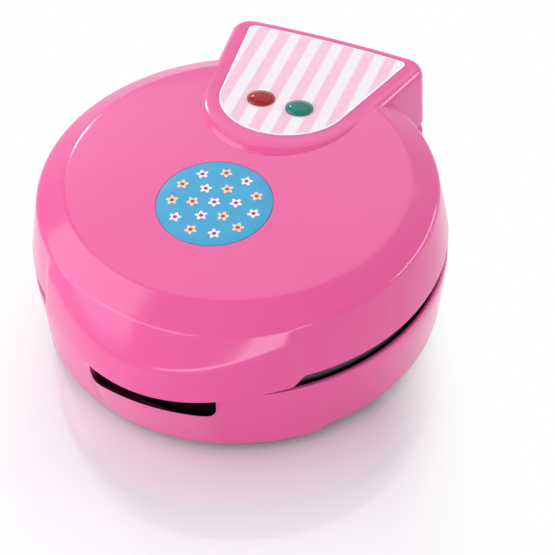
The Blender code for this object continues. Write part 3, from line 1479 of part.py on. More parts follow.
def build_lid():
    """The pieces that swing up."""
    element_z = UPPER_BACK_Z + CLEARANCE + ELEMENT_RADIUS
    make_lid_housing()
    make_label()
    make_badge()
    make_lenses()
    make_lamp_details()
    make_upper_plate()
    make_element("upper_heating_element", element_z)
    make_straps("upper_element_strap", element_z, -1)
    make_reflector("upper_reflector", UPPER_REFLECTOR_Z, -REFLECTOR_EDGE_RISE / 2)
    make_lid_screws()


def hang(things):
    """Hangs the lid's pieces, and the cutters that shape them, from an empty on the hinge's axis."""
    place = Vector((0, HINGE_Y, HINGE_Z))
    hinge = bpy.data.objects.new("lid_hinge", None)
    hinge.location = place
    PARTS.objects.link(hinge)
    for thing in things:
        thing.parent = hinge
        thing.matrix_parent_inverse = Matrix.Translation(-place)


def build():
    """Makes both halves with the round body over the origin, then moves the outline's middle there."""
    build_base()
    fixed = set(bpy.data.objects)
    build_lid()
    hang([thing for thing in bpy.data.objects if thing not in fixed])
    for thing in bpy.data.objects:
        if thing.parent is None:
            thing.location.y -= OUTLINE_SHIFT


build()
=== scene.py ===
# %% [markdown]
# # Dressing a cupcake maker
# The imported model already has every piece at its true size. This lesson gives the pieces their finish:
# glossy pink mouldings, a striped film, a printed badge, two tinted lenses and dark coated plates. Pieces
# whose facets would show in a gloss are made again from the same rule with finer steps. The rest keep their
# shape and get a material.

# %% Load the frame
import math

import bmesh
import bpy
from mathutils import Matrix, Vector


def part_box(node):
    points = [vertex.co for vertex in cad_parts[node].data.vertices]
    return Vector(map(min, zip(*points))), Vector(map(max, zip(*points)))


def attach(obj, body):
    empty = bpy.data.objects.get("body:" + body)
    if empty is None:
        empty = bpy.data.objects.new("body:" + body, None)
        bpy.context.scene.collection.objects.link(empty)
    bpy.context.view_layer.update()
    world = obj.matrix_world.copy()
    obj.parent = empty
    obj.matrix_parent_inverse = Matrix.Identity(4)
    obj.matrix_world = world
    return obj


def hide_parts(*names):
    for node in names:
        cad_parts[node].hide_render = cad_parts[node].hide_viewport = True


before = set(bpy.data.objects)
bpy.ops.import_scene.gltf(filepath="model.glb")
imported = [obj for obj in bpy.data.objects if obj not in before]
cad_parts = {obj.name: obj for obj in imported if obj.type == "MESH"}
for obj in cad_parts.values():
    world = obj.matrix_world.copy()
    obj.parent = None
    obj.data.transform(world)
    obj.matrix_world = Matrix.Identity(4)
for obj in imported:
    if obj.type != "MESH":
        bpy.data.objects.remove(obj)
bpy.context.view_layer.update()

# %% [markdown]
# All places come from the frame. The reflectors are discs about the axis of the round body, so the middle
# of one gives that axis, and the upper plate's face gives the height of the seam. From here on most places
# are counted from the axis, with the front towards -Y.

# %% Axis of the body and height of the seam
disc_low, disc_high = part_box("lower_reflector")
CENTRE_X = (disc_low[0] + disc_high[0]) / 2
CENTRE_Y = (disc_low[1] + disc_high[1]) / 2
SEAM_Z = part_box("upper_baking_plate")[0][2]
FOOT_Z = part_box("bottom_cover")[0][2]
REAR_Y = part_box("base_housing")[1][1] - CENTRE_Y
print("body centre", round(CENTRE_X, 5), round(CENTRE_Y, 5))
print("seam", round(SEAM_Z, 5), "rear", round(REAR_Y, 5))

# %% Sizes of the two shells
WALL = 0.0025
GAP = 0.0003
OVERRUN = 0.004
RIM_Z = SEAM_Z - 0.0043
SKIRT_Z = SEAM_Z + 0.0040
SIDE_RISE = 0.0300
BAND_RISE = 0.0075
DOME_RISE = 0.0047
SKIRT_RADIUS = 0.1080
SHOULDER_RADIUS = 0.1024
DISC_RADIUS = 0.0876
RIM_RADIUS = 0.1079
FOOT_RADIUS = 0.1048
SHOULDER_Z = SKIRT_Z + SIDE_RISE
DISC_Z = SHOULDER_Z + BAND_RISE
APEX_Z = DISC_Z + DOME_RISE
print("top of the dome", round(APEX_Z, 5))

# %% [markdown]
# ## Camera
# The photograph was taken from the front right and well above, with a long lens. A camera can be turned by
# hand until it looks right, but this one was fitted to the outline of the body, the two lenses and the
# corners of the panel, so its place, its aim and its small roll are measured values.


# %% Camera at the photograph's angle
def linked(name, data):
    """A new object of the scene that holds the data."""
    made = bpy.data.objects.new(name, data)
    bpy.context.scene.collection.objects.link(made)
    return made


CAMERA_PLACE = Vector((0.2923122, CENTRE_Y - 0.5792443, 0.6844319))
CAMERA_AIM = Vector((0.011053, CENTRE_Y + 0.0194332, 0))
CAMERA_ROLL = math.radians(-2.3118)
optics = bpy.data.cameras.new("photo_camera")
optics.lens = 112.92
optics.sensor_width = 36
optics.clip_end = 20
camera = linked("photo_camera", optics)
facing = (CAMERA_AIM - CAMERA_PLACE).to_track_quat("-Z", "Y").to_matrix().to_4x4()
camera.matrix_world = Matrix.Translation(CAMERA_PLACE) @ facing @ Matrix.Rotation(CAMERA_ROLL, 4, "Z")
bpy.context.scene.camera = camera
print("camera", round((CAMERA_AIM - CAMERA_PLACE).length, 3), "m from its aim")

# %% [markdown]
# ## Shader maths
# A finish is easier to read as a formula than as a list of links. A Wire holds one socket, and sums,
# products and comparisons of wires add the Math nodes. Every other node comes from one function, which
# takes the node's type, its settings and the values or links of its sockets. Shaders, the world and
# Geometry Nodes all share it.


# %% Nodes and wires
def add_node(tree, kind, settings=None, inputs=None):
    """Adds one node: its settings first, then the values or links of its sockets."""
    made = tree.nodes.new(kind)
    for key, value in (settings or {}).items():
        setattr(made, key, value)
    for key, value in (inputs or {}).items():
        for source in value if isinstance(value, list) else [value]:
            source = source.socket if isinstance(source, Wire) else source
            if isinstance(source, bpy.types.NodeSocket):
                tree.links.new(source, made.inputs[key])
            else:
                made.inputs[key].default_value = source
    return made


def maths(operation, swapped=False):
    """An operator between a wire and another wire or a number. The swapped one has the wire on its right."""
    def run(wire, other):
        first, second = (other, wire) if swapped else (wire, other)
        return wire.graph.node("Math", {"operation": operation}, {0: first, 1: second})
    return run


class Wire:
    """One output socket of a shader tree, which can be used in sums."""

    def __init__(self, graph, socket):
        self.graph = graph
        self.socket = socket

    def math(self, operation, *others):
        return self.graph.node("Math", {"operation": operation}, dict(enumerate((self, *others))))

    __add__ = __radd__ = maths("ADD")
    __mul__ = __rmul__ = maths("MULTIPLY")
    __sub__ = maths("SUBTRACT")
    __rsub__ = maths("SUBTRACT", swapped=True)
    __truediv__ = maths("DIVIDE")
    __rtruediv__ = maths("DIVIDE", swapped=True)
    __lt__ = maths("LESS_THAN")
    __gt__ = maths("GREATER_THAN")


# %% Graphs and finishes
class Graph:
    """A shader tree whose nodes come as wires."""

    def __init__(self, tree):
        self.tree = tree

    def node(self, kind, settings=None, inputs=None, output=0):
        return Wire(self, add_node(self.tree, "ShaderNode" + kind, settings, inputs).outputs[output])

    def parts(self, vector):
        """The X and Y of a vector."""
        return [self.node("SeparateXYZ", None, {0: vector}, output=axis) for axis in (0, 1)]

    def white_where_seen(self, lighting, white, end, share=1.0):
        """Plain white for rays that look, times the share, and the lighting shader for all other rays."""
        looking = ("Camera", "Glossy", "Transmission")
        seen = sum(self.node("LightPath", output=f"Is {ray} Ray") for ray in looking)
        backdrop = self.node(white, None, {"Color": (1, 1, 1, 1)})
        both = self.node("MixShader", None, {0: seen * share, 1: lighting, 2: backdrop})
        self.tree.links.new(both.socket, self.tree.nodes[end].inputs[0])


class Finish(Graph):
    """A material with one Principled shader. Constants are set on the shader's own sockets."""

    def __init__(self, name, colour, roughness, **constants):
        self.material = bpy.data.materials.new(name)
        self.material.use_nodes = True
        super().__init__(self.material.node_tree)
        self.shader = self.tree.nodes["Principled BSDF"]
        self.shader.inputs["Base Color"].default_value = (*colour, 1)
        self.shader.inputs["Roughness"].default_value = roughness
        for socket, value in constants.items():
            self.shader.inputs[socket.replace("_", " ")].default_value = value

    def drive(self, socket, wire):
        self.tree.links.new(wire.socket, self.shader.inputs[socket])

    def place(self, offset=(0, 0, 0), scale=(1, 1, 1)):
        """Object coordinates, moved and stretched."""
        coordinates = self.node("TexCoord", output="Object")
        return self.node("Mapping", None, {"Vector": coordinates, "Location": offset, "Scale": scale})

    def noise(self, scale, detail=3.0, stretch=(1, 1, 1)):
        """Soft noise from 0 to 1, its scale counted per metre."""
        place = self.place(scale=stretch)
        return self.node("TexNoise", None, {"Vector": place, "Scale": scale, "Detail": detail})

    def mix(self, factor, first, second):
        """A colour between two, by the factor. Either may be three numbers or a wire."""
        ends = [end if isinstance(end, Wire) else (*end, 1) for end in (first, second)]
        return self.node("Mix", {"data_type": "RGBA"}, {0: factor, 6: ends[0], 7: ends[1]}, output=2)

    def bump(self, height, distance, strength):
        inputs = {"Height": height, "Distance": distance, "Strength": strength}
        self.drive("Normal", self.node("Bump", None, inputs))


# %% [markdown]
# ## The pink plastic
# The shells are injection moulded in a bright pink that is coloured right through and polished. One flat
# colour with a low roughness would come near it, but a moulding is never perfectly even: its colour drifts
# a little where it cooled slowly, and the gloss carries a faint ripple. Both are far too weak to see as a
# pattern, but without them the gloss looks like a computer's.

# %% Pink plastic
pink = Finish("pink_moulding", (0.70, 0.066, 0.275), 0.2, Coat_Weight=0.2, Coat_Roughness=0.05, IOR=1.5)
pink.drive("Base Color", pink.mix(pink.noise(14, 2), (0.69, 0.062, 0.269), (0.715, 0.071, 0.283)))
pink.drive("Roughness", 0.15 + pink.noise(90, 4) * 0.08)
pink.bump(pink.noise(240, 2), 0.00004, 0.35)
print("pink_moulding", len(pink.tree.nodes), "nodes")

# %% [markdown]
# ## The dark finishes
# The plates have a baked non-stick coat: nearly black, satin, with very fine pale grains in it. An image of
# such a coat would show its pixels close up, so the grains are the cells of a Voronoi texture whose middle
# is near. The cover and the cord bushing are matt plastic from a spark-eroded mould, and the feet are soft
# rubber.

# %% Non-stick coat
coating = Finish("non_stick_coat", (0.022, 0.022, 0.024), 0.36, Specular_IOR_Level=0.5)
speckle = coating.node("TexVoronoi", {"feature": "F1"}, {"Vector": coating.place(), "Scale": 1400})
coating.drive("Base Color", coating.mix(speckle < 0.16, (0.018, 0.018, 0.02), (0.10, 0.10, 0.105)))
coating.drive("Roughness", 0.30 + coating.noise(600, 3) * 0.16)
coating.bump(coating.noise(2600, 3), 0.00003, 0.5)
print("non_stick_coat", len(coating.tree.nodes), "nodes")

# %% Black plastic and rubber
black = Finish("black_moulding", (0.02, 0.02, 0.021), 0.5)
black.drive("Base Color", black.mix(black.noise(60, 3), (0.016, 0.016, 0.017), (0.028, 0.028, 0.029)))
black.drive("Roughness", 0.44 + black.noise(500, 4) * 0.2)
black.bump(black.noise(3200, 4), 0.00005, 0.6)

rubber = Finish("foot_rubber", (0.06, 0.06, 0.062), 0.8)
rubber.drive("Base Color", rubber.mix(rubber.noise(120, 4), (0.045, 0.045, 0.047), (0.08, 0.08, 0.082)))
rubber.drive("Roughness", 0.70 + rubber.noise(900, 3) * 0.2)
rubber.bump(rubber.noise(1800, 4), 0.00006, 0.5)
print("plastic and rubber", len(black.tree.nodes), len(rubber.tree.nodes), "nodes")

# %% [markdown]
# ## Metals
# Zinc-plated screws and springs are bright with fine lines along them. The element's sheath has been
# through heat, which leaves straw and blue tints. The reflectors are rolled sheet, so their grain runs one
# way. A noise that is squeezed along one axis gives such lines, and the same lines then drive colour, gloss
# and relief, so that a line which looks darker also looks rougher.

# %% Steel, element sheath and reflector sheet
steel = Finish("plated_steel", (0.62, 0.62, 0.6), 0.3, Metallic=1.0)
lines = steel.noise(300, 3, (1, 1, 14))
steel.drive("Base Color", steel.mix(lines, (0.50, 0.50, 0.49), (0.70, 0.70, 0.69)))
steel.drive("Roughness", 0.22 + lines * 0.2)
steel.bump(lines, 0.00003, 0.4)

sheath = Finish("element_sheath_tint", (0.3, 0.29, 0.28), 0.45, Metallic=1.0)
heat = sheath.noise(45, 3)
straw = sheath.mix(heat, (0.22, 0.21, 0.22), (0.42, 0.34, 0.22))
sheath.drive("Base Color", sheath.mix(heat > 0.58, straw, (0.20, 0.24, 0.34)))
sheath.drive("Roughness", 0.35 + sheath.noise(500, 3) * 0.25)
sheath.bump(sheath.noise(900, 2), 0.00004, 0.4)

sheet = Finish("rolled_sheet", (0.75, 0.75, 0.76), 0.35, Metallic=1.0)
grain = sheet.noise(220, 3, (1, 24, 1))
sheet.drive("Base Color", sheet.mix(grain, (0.66, 0.66, 0.67), (0.80, 0.80, 0.81)))
sheet.drive("Roughness", 0.26 + grain * 0.22)
sheet.bump(grain, 0.00003, 0.4)
print("metals", len(steel.tree.nodes), len(sheath.tree.nodes), len(sheet.tree.nodes), "nodes")

# %% [markdown]
# ## Small pieces in the base
# The terminal block, thermostat and fuse are steatite, a dense off-white ceramic. The leads have a woven
# glass sleeve, whose weave is a fine diagonal Wave texture, since real threads would cost many faces where
# nobody looks. The neon lamps are clear glass that looks faintly smoky.

# %% Ceramic, woven sleeve and lamp glass
ceramic = Finish("steatite", (0.85, 0.84, 0.8), 0.5)
ceramic.drive("Base Color", ceramic.mix(ceramic.noise(260, 4), (0.78, 0.76, 0.71), (0.88, 0.87, 0.83)))
ceramic.drive("Roughness", 0.42 + ceramic.noise(700, 3) * 0.16)
ceramic.bump(ceramic.noise(1200, 4), 0.00004, 0.4)

sleeve = Finish("woven_sleeve", (0.75, 0.74, 0.7), 0.65)
weave = sleeve.node("TexWave", {"wave_type": "BANDS", "bands_direction": "DIAGONAL"},
                    {"Vector": sleeve.place(), "Scale": 900, "Distortion": 1.0})
sleeve.drive("Base Color", sleeve.mix(weave, (0.62, 0.60, 0.55), (0.82, 0.81, 0.77)))
sleeve.bump(weave, 0.0001, 0.6)

glass = Finish("lamp_glass", (0.85, 0.8, 0.75), 0.08, Transmission_Weight=0.85, IOR=1.5)
smoke = glass.noise(400, 2)
glass.drive("Base Color", glass.mix(smoke, (0.80, 0.72, 0.66), (0.92, 0.88, 0.84)))
glass.drive("Roughness", 0.05 + smoke * 0.08)
print("small pieces", len(ceramic.tree.nodes), len(sleeve.tree.nodes), len(glass.tree.nodes), "nodes")

# %% [markdown]
# ## Printed film
# The film on the panel has pale pink stripes that run towards the hinge, on a warm white, with a narrow
# white border. It is flat print under a clear film, so the pattern is all in the colour and needs no
# relief. Stripes could be separate strips of mesh, but a formula of the place on the object keeps them
# sharp at any distance: the place across the stripes, counted in pitches, keeps only its fraction, and a
# smooth step turns that into ink.

# %% Striped film
STRIPE_PITCH = 0.0124
STRIPE_PHASE = 0.55
STRIPE_HALF_SHARE = 0.25
STRIPE_EDGE_SHARE = 0.06
STRIPE_TURN = math.radians(6)
film = Finish("striped_print", (0.93, 0.86, 0.88), 0.3, Specular_IOR_Level=0.25)
across, along = film.parts(film.place())
ripple = film.noise(160, 3) * 0.0004
turned_place = across * math.cos(STRIPE_TURN) + along * math.sin(STRIPE_TURN) + ripple
pitches = turned_place / STRIPE_PITCH + STRIPE_PHASE
stripe = film.node("MapRange", {"interpolation_type": "SMOOTHSTEP"}, {
    "Value": (pitches.math("FRACT") - 0.5).math("ABSOLUTE"), "To Min": 1.0, "To Max": 0.0,
    "From Min": STRIPE_HALF_SHARE - STRIPE_EDGE_SHARE, "From Max": STRIPE_HALF_SHARE + STRIPE_EDGE_SHARE})
blot = film.noise(230, 4)
ground = film.mix(blot, (0.78, 0.70, 0.74), (0.84, 0.79, 0.81))
striped = film.mix(stripe * (0.55 + blot * 0.7), ground, (0.82, 0.47, 0.60))
border = film.node("Attribute", {"attribute_name": "border"}, output=2)
film.drive("Base Color", film.mix(border, striped, (0.90, 0.80, 0.86)))
film.drive("Roughness", 0.26 + film.noise(700, 3) * 0.12)
film.bump(film.noise(1500, 2), 0.00003, 0.3)
print("striped_print", len(film.tree.nodes), "nodes")

# %% [markdown]
# ## Printed badge
# The badge has a blue ground with small printed flowers. They stand on rings, so no flower needs a place of
# its own: the angle round the ring, counted in steps and rounded, names the nearest flower and gives its
# middle. The distance from there, bent by a cosine with five waves, makes the petals.

# %% Flowers on a ring
BADGE_RADIUS = 0.0290
BADGE_FORWARD = 0.0268
BADGE_RINGS = ((0.0, 1, 0.0), (0.0108, 6, 0.3), (0.0212, 11, 0.0))
PETALS = 5
FLOWER_RADIUS = 0.0032
EYE_SHARE = 0.34


def flower_masks(x, y, radius, count, phase):
    """Petals and eye of the nearest flower on a ring, and whether the flower is an odd one."""
    step = 2 * math.pi / count
    number = (y.math("ARCTAN2", x) / step - phase).math("ROUND")
    turn = (number + phase) * step
    away_x = x - turn.math("COSINE") * radius
    away_y = y - turn.math("SINE") * radius
    reach = (away_x * away_x + away_y * away_y).math("SQRT")
    petal = (away_y.math("ARCTAN2", away_x) * PETALS + number * 2.0).math("COSINE") * 0.22 + 0.78
    odd = (number * 0.5).math("FRACT").math("ABSOLUTE") > 0.25
    return reach / petal < FLOWER_RADIUS, reach < FLOWER_RADIUS * EYE_SHARE, odd


# %% Badge print
badge_print = Finish("badge_print", (0.08, 0.45, 0.75), 0.28, Specular_IOR_Level=0.3)
east, north = badge_print.parts(badge_print.place(offset=(-CENTRE_X, BADGE_FORWARD - CENTRE_Y, 0)))
print_colour = badge_print.mix(badge_print.noise(120, 3), (0.035, 0.28, 0.50), (0.055, 0.36, 0.60))
for badge_ring in BADGE_RINGS:
    flower, eye, odd_one = flower_masks(east, north, *badge_ring)
    petal_colour = badge_print.mix(odd_one, (0.86, 0.74, 0.84), (0.90, 0.56, 0.34))
    print_colour = badge_print.mix(flower, print_colour, petal_colour)
    print_colour = badge_print.mix(eye, print_colour, (0.30, 0.05, 0.10))
badge_print.drive("Base Color", print_colour)
badge_print.drive("Roughness", 0.24 + badge_print.noise(800, 3) * 0.1)
badge_print.bump(badge_print.noise(1400, 2), 0.00002, 0.3)
print("flowers", sum(count for radius, count, phase in BADGE_RINGS))

# %% [markdown]
# ## Lenses
# An indicator lens is moulded in clear tinted plastic. Its inner face has fine ribs that spread the lamp's
# light, and from outside they show as a faint unevenness. The tint is so deep that nothing shows through,
# so instead of a slow glass shader a dark base colour with a smooth gloss gives the same look and the crisp
# glint.


# %% Tinted lenses
def lens_finish(name, dark, bright):
    tint = Finish(name, bright, 0.04, Specular_IOR_Level=0.3)
    ribs = tint.node("TexWave", {"wave_type": "RINGS", "rings_direction": "Z"},
                     {"Vector": tint.place(), "Scale": 260, "Distortion": 2.0})
    tint.drive("Base Color", tint.mix(ribs * 0.35 + tint.noise(500, 3) * 0.5, dark, bright))
    tint.drive("Roughness", 0.03 + tint.noise(700, 3) * 0.03)
    tint.bump(ribs, 0.00001, 0.1)
    return tint


red = lens_finish("red_tint", (0.17, 0.0, 0.0), (0.50, 0.004, 0.002))
green = lens_finish("green_tint", (0.0, 0.085, 0.07), (0.0, 0.28, 0.205))
print("tints", len(red.tree.nodes), len(green.tree.nodes), "nodes")

# %% [markdown]
# ## Pieces that keep their CAD shape
# Hidden and plain pieces look right with the shape that they have, so each one only gets a material on the
# slots that it already has. A node's name says what it is made of, so a table of words finds the finish,
# and a new piece of a known kind would be dressed without another line.

# %% Materials by name
DRESS = {
    "lead": sleeve, "thermostat": ceramic, "thermal_fuse": ceramic, "terminal_block": ceramic,
    "cord_gland": black, "bottom_cover": black, "foot": rubber, "housing": pink, "screw": steel,
    "hinge_shaft": steel, "lens_clip": steel, "strap": steel, "heating_element": sheath, "reflector": sheet,
    "baking_plate": coating, "panel_label": film, "round_badge": badge_print, "power_lens": red,
    "ready_lens": green, "neon_lamp": glass,
}
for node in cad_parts:
    finish = next(finish for word, finish in DRESS.items() if word in node)
    for slot in bpy.data.objects[node].material_slots:
        slot.material = finish.material
print(len(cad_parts), "nodes dressed")

# %% [markdown]
# ## Shapes by rule
# The lid and the base follow rules: a profile that changes with the angle round the body. The CAD solid
# samples that rule in coarse steps, which a gloss would show as facets, and smoothing its loose triangles
# would smear their corners. Here the same rule is sampled finely instead, and each corner of the profile
# becomes a short curve, because a moulded edge is never sharp and its highlight is what the eye reads as an
# edge.

# %% Helpers for meshes
TURN = 2 * math.pi


def to_object(name, bm):
    """A new object that takes over a bmesh."""
    mesh = bpy.data.meshes.new(name)
    bm.to_mesh(mesh)
    bm.free()
    return linked(name, mesh)


def shape(name, bm):
    """An object from a bmesh, closed and with its faces out."""
    bmesh.ops.remove_doubles(bm, verts=bm.verts[:], dist=1e-7)
    bmesh.ops.recalc_face_normals(bm, faces=bm.faces[:])
    if bm.calc_volume(signed=True) < 0:
        bmesh.ops.reverse_faces(bm, faces=bm.faces[:])
    return to_object(name, bm)


def bridge(bm, rings, caps):
    """Faces between rings, each of which may be one point. Open ends are capped or meet each other."""
    rows = [[bm.verts.new(point) for point in ring] for ring in rings]
    pairs = list(zip(rows, rows[1:]))
    if not caps and len(rows[0]) > 1 and len(rows[-1]) > 1:
        pairs.append((rows[-1], rows[0]))
    for low, high in pairs:
        count = max(len(low), len(high))
        for i in range(count):
            j = (i + 1) % count
            quad = low[i % len(low)], low[j % len(low)], high[j % len(high)], high[i % len(high)]
            bm.faces.new(list(dict.fromkeys(quad)))
    for row in (rows[0], rows[-1]) if caps else ():
        bm.faces.new(row)


def solid(name, *bodies, caps=False):
    """One object of one or more closed bodies, each given as its rings."""
    bm = bmesh.new()
    for rings in bodies:
        bridge(bm, rings, caps)
    return shape(name, bm)


def settle(made, finish, body, *nodes):
    """Gives a piece its material and smooth shading, hangs it under its body's empty and hides the nodes
    that it replaces.
    """
    made.data.materials.clear()
    made.data.materials.append(finish.material)
    made.data.shade_smooth()
    made.data.set_sharp_from_angle(angle=math.radians(32))
    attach(made, body)
    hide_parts(*nodes)
    print(made.name, len(made.data.polygons), "faces")


# %% Helpers for profiles
def bend(before, corner, after, reach, steps):
    """A corner of a profile as a short curve that starts and ends at the reach from it."""
    before, corner, after = Vector(before), Vector(corner), Vector(after)
    start = corner + (before - corner).normalized() * reach
    end = corner + (after - corner).normalized() * reach
    shares = [i / steps for i in range(steps + 1)]
    return [tuple(start * (1 - t) ** 2 + corner * 2 * t * (1 - t) + end * t**2) for t in shares]


def profile(corners):
    """Rows through corners of (radius, height), or of (radius, height, reach, steps) where one is bent."""
    rows = []
    for i, (radius, height, *bent) in enumerate(corners):
        if bent:
            before, after = corners[i - 1][:2], corners[(i + 1) % len(corners)][:2]
            rows += bend(before, (radius, height), after, *bent)
        else:
            rows.append((radius, height))
    return rows


def turned(rows, segments, matrix):
    """Rings of a profile of (radius, height) rows turned about Z. A row on the axis gives one point."""
    rings = []
    for radius, height in rows:
        spokes = [TURN * i / segments for i in range(segments if radius else 1)]
        rings.append([matrix @ Vector((radius * math.cos(a), radius * math.sin(a), height)) for a in spokes])
    return rings


def rod(radius, start, end):
    """Rows of a plain cylinder."""
    return [(0, start), (radius, start), (radius, end), (0, end)]


def at(x, y, z=0.0):
    """The frame of a place that is counted from the body's axis."""
    return Matrix.Translation((CENTRE_X + x, CENTRE_Y + y, z))


# %% Helpers that change a mesh
WELD = 3e-6


def bake(thing, modifier):
    """Applies a modifier and joins the points that it left close together, which closes hairline gaps."""
    bpy.context.view_layer.update()
    whole = bpy.data.meshes.new_from_object(thing.evaluated_get(bpy.context.evaluated_depsgraph_get()))
    thing.modifiers.remove(modifier)
    bm = bmesh.new()
    bm.from_mesh(whole)
    bmesh.ops.remove_doubles(bm, verts=bm.verts[:], dist=WELD)
    bmesh.ops.dissolve_degenerate(bm, edges=bm.edges[:], dist=WELD)
    bm.to_mesh(whole)
    bm.free()
    thing.data = whole


def cut(thing, other, operation="DIFFERENCE"):
    """Cuts another body out, or joins it with UNION, and removes the other body."""
    modifier = thing.modifiers.new("cut", "BOOLEAN")
    modifier.operation = operation
    modifier.object = other
    bake(thing, modifier)
    bpy.data.objects.remove(other)


# %% [markdown]
# ## The lid
# The profile runs from the middle of the dome to its edge, down the sloping band to the shoulder, and down
# the side. Round the front the side is pulled out into a grip lip with a crease, which is strongest
# straight ahead and ends in a short step on either side. Pulling a turned body about by hand would leave
# dents in the gloss. A rule that blends two profiles by the angle keeps the lip as smooth as the real
# moulding.

# %% Sizes of the grip lip
LIP_ANGLE = math.radians(37)
LIP_FADE = math.radians(4.5)
LIP_LABELS = ("crease drop", "crease reach", "foot reach", "foot drop")
LIP_MIDDLE = (0.0174, 0.0096, 0.0090, 0.0064)
LIP_END = (0.0094, 0.0024, 0.0024, 0.0039)
PLAIN_CREASE_SHARE = 0.31
DOME_SHARES = (0, 0.15, 0.3, 0.45, 0.6, 0.74, 0.86)
DISC_BEND, SIDE_BEND, HEM_BEND = (0.0016, 5), (0.0022, 6), (0.0009, 4)
HEM_LEDGE = 0.0016
BODY_STEPS = 288
print("lip straight ahead", dict(zip(LIP_LABELS, LIP_MIDDLE)))


# %% How forms fade with the angle
def off_front(angle):
    angle = abs(angle) % TURN
    return min(angle, TURN - angle)


def fade(angle, span, width):
    """1 inside the span and 0 past the width beyond it."""
    share = min(1.0, max(0.0, (off_front(angle) - span) / width))
    return 1 - share * share * (3 - 2 * share)


def swell(angle, span):
    """1 straight ahead, falling to 0 at the span."""
    return max(0.0, math.cos(min(1.0, off_front(angle) / span) * math.pi / 2)) ** 1.5


def blend(first, second, share):
    return tuple(a + (b - a) * share for a, b in zip(first, second))


# %% Profiles of the lid
def dome_height(radius):
    return APEX_Z - DOME_RISE * (radius / DISC_RADIUS) ** 2


def side_radius(height):
    return SKIRT_RADIUS - (SKIRT_RADIUS - SHOULDER_RADIUS) * (height - SKIRT_Z) / SIDE_RISE


def lid_corners(angle):
    """Crease and lower edge of the side, pulled out where the grip lip is."""
    crease_drop, crease_reach, foot_reach, foot_drop = blend(LIP_END, LIP_MIDDLE, swell(angle, LIP_ANGLE))
    share = fade(angle, LIP_ANGLE, LIP_FADE)
    plain_z = SHOULDER_Z - PLAIN_CREASE_SHARE * SIDE_RISE
    crease_z = SHOULDER_Z - crease_drop
    crease = blend((side_radius(plain_z), plain_z), (side_radius(crease_z) + crease_reach, crease_z), share)
    foot = blend((SKIRT_RADIUS, SKIRT_Z), (SKIRT_RADIUS + foot_reach, SKIRT_Z - foot_drop), share)
    return crease, foot


def dome_rows(depth):
    """The dome's rows, that deep under its surface."""
    return [(DISC_RADIUS * share, dome_height(DISC_RADIUS * share) - depth) for share in DOME_SHARES]


def lid_outside(angle):
    """Rows from the middle of the dome down the outside, with the inside still filled."""
    crease, foot = lid_corners(angle)
    hem = foot[0] - WALL - HEM_LEDGE
    fill_z = SKIRT_Z + SIDE_RISE / 2
    return profile(dome_rows(0) + [
        (DISC_RADIUS, DISC_Z, *DISC_BEND),
        (SHOULDER_RADIUS, SHOULDER_Z, *SIDE_BEND),
        (*crease, *SIDE_BEND),
        (*foot, *HEM_BEND),
        (hem, foot[1]),
        (hem, fill_z),
        (0, fill_z),
    ])


def lid_hollow(angle):
    """Rows of the hollow inside, one wall in from the outside, flared a little at the mouth."""
    crease, foot = lid_corners(angle)
    inside, flare = foot[0] - WALL, 0.0006
    return dome_rows(WALL) + [
        (DISC_RADIUS - 0.0010, DISC_Z - WALL),
        (SHOULDER_RADIUS - WALL, SHOULDER_Z - WALL * 0.8),
        (crease[0] - WALL, crease[1]),
        (inside, foot[1] + flare),
        (inside + flare, foot[1]),
        (inside + flare, RIM_Z - OVERRUN),
        (0, RIM_Z - OVERRUN),
    ]


# %% Body of the lid
def round_place(angle, radius, height):
    """A point at an angle from straight ahead, a radius from the axis and a height."""
    return CENTRE_X + radius * math.sin(angle), CENTRE_Y - radius * math.cos(angle), height


def body_of_rows(name, rule):
    """A closed body whose profile at each angle comes from the rule."""
    angles = [TURN * i / BODY_STEPS for i in range(BODY_STEPS)]
    rings = []
    for row in zip(*[rule(angle) for angle in angles]):
        count = BODY_STEPS if row[0][0] else 1
        rings.append([round_place(angle, *point) for angle, point in zip(angles[:count], row)])
    return solid(name, rings)


lid_shell = body_of_rows("lid_shell", lid_outside)
print("lid", len(lid_shell.data.vertices), "points")

# %% [markdown]
# ## The boss round the panel
# The control panel sits in a raised boss that grows out of the dome. Its outline is a round front end, two
# sides that flare towards the hinge and a slightly bowed rear edge. A bevel on a cut-out plate would give
# one width of rim all round, but here the rim is wider in front. So rings of the outline, each moved
# outwards by its own margin, make the body, and the margins follow a quarter circle, which gives the soft
# rim all the way round.

# %% Sizes of the panel
PANEL_FRONT_RADIUS = 0.035
PANEL_LENGTH = 0.0597
PANEL_FLARE = math.radians(10.9)
PANEL_BOW = 0.0018
PANEL_REAR_HALF_WIDTH = 0.045
PANEL_REAR_RIM = 0.0052
PANEL_CORNER = 0.0035
PANEL_TILT = 0.13
PANEL_Z = APEX_Z - 0.0023
PANEL_REAR_Y = REAR_Y - PANEL_REAR_RIM - PANEL_BOW
PANEL_FRONT_Y = PANEL_REAR_Y - PANEL_LENGTH
print("panel falls by", round(math.degrees(math.atan(PANEL_TILT)), 1), "degrees towards the hinge")


# %% Outline of the panel
def rear_bow(x):
    return PANEL_BOW * (1 - (x / PANEL_REAR_HALF_WIDTH) ** 2)


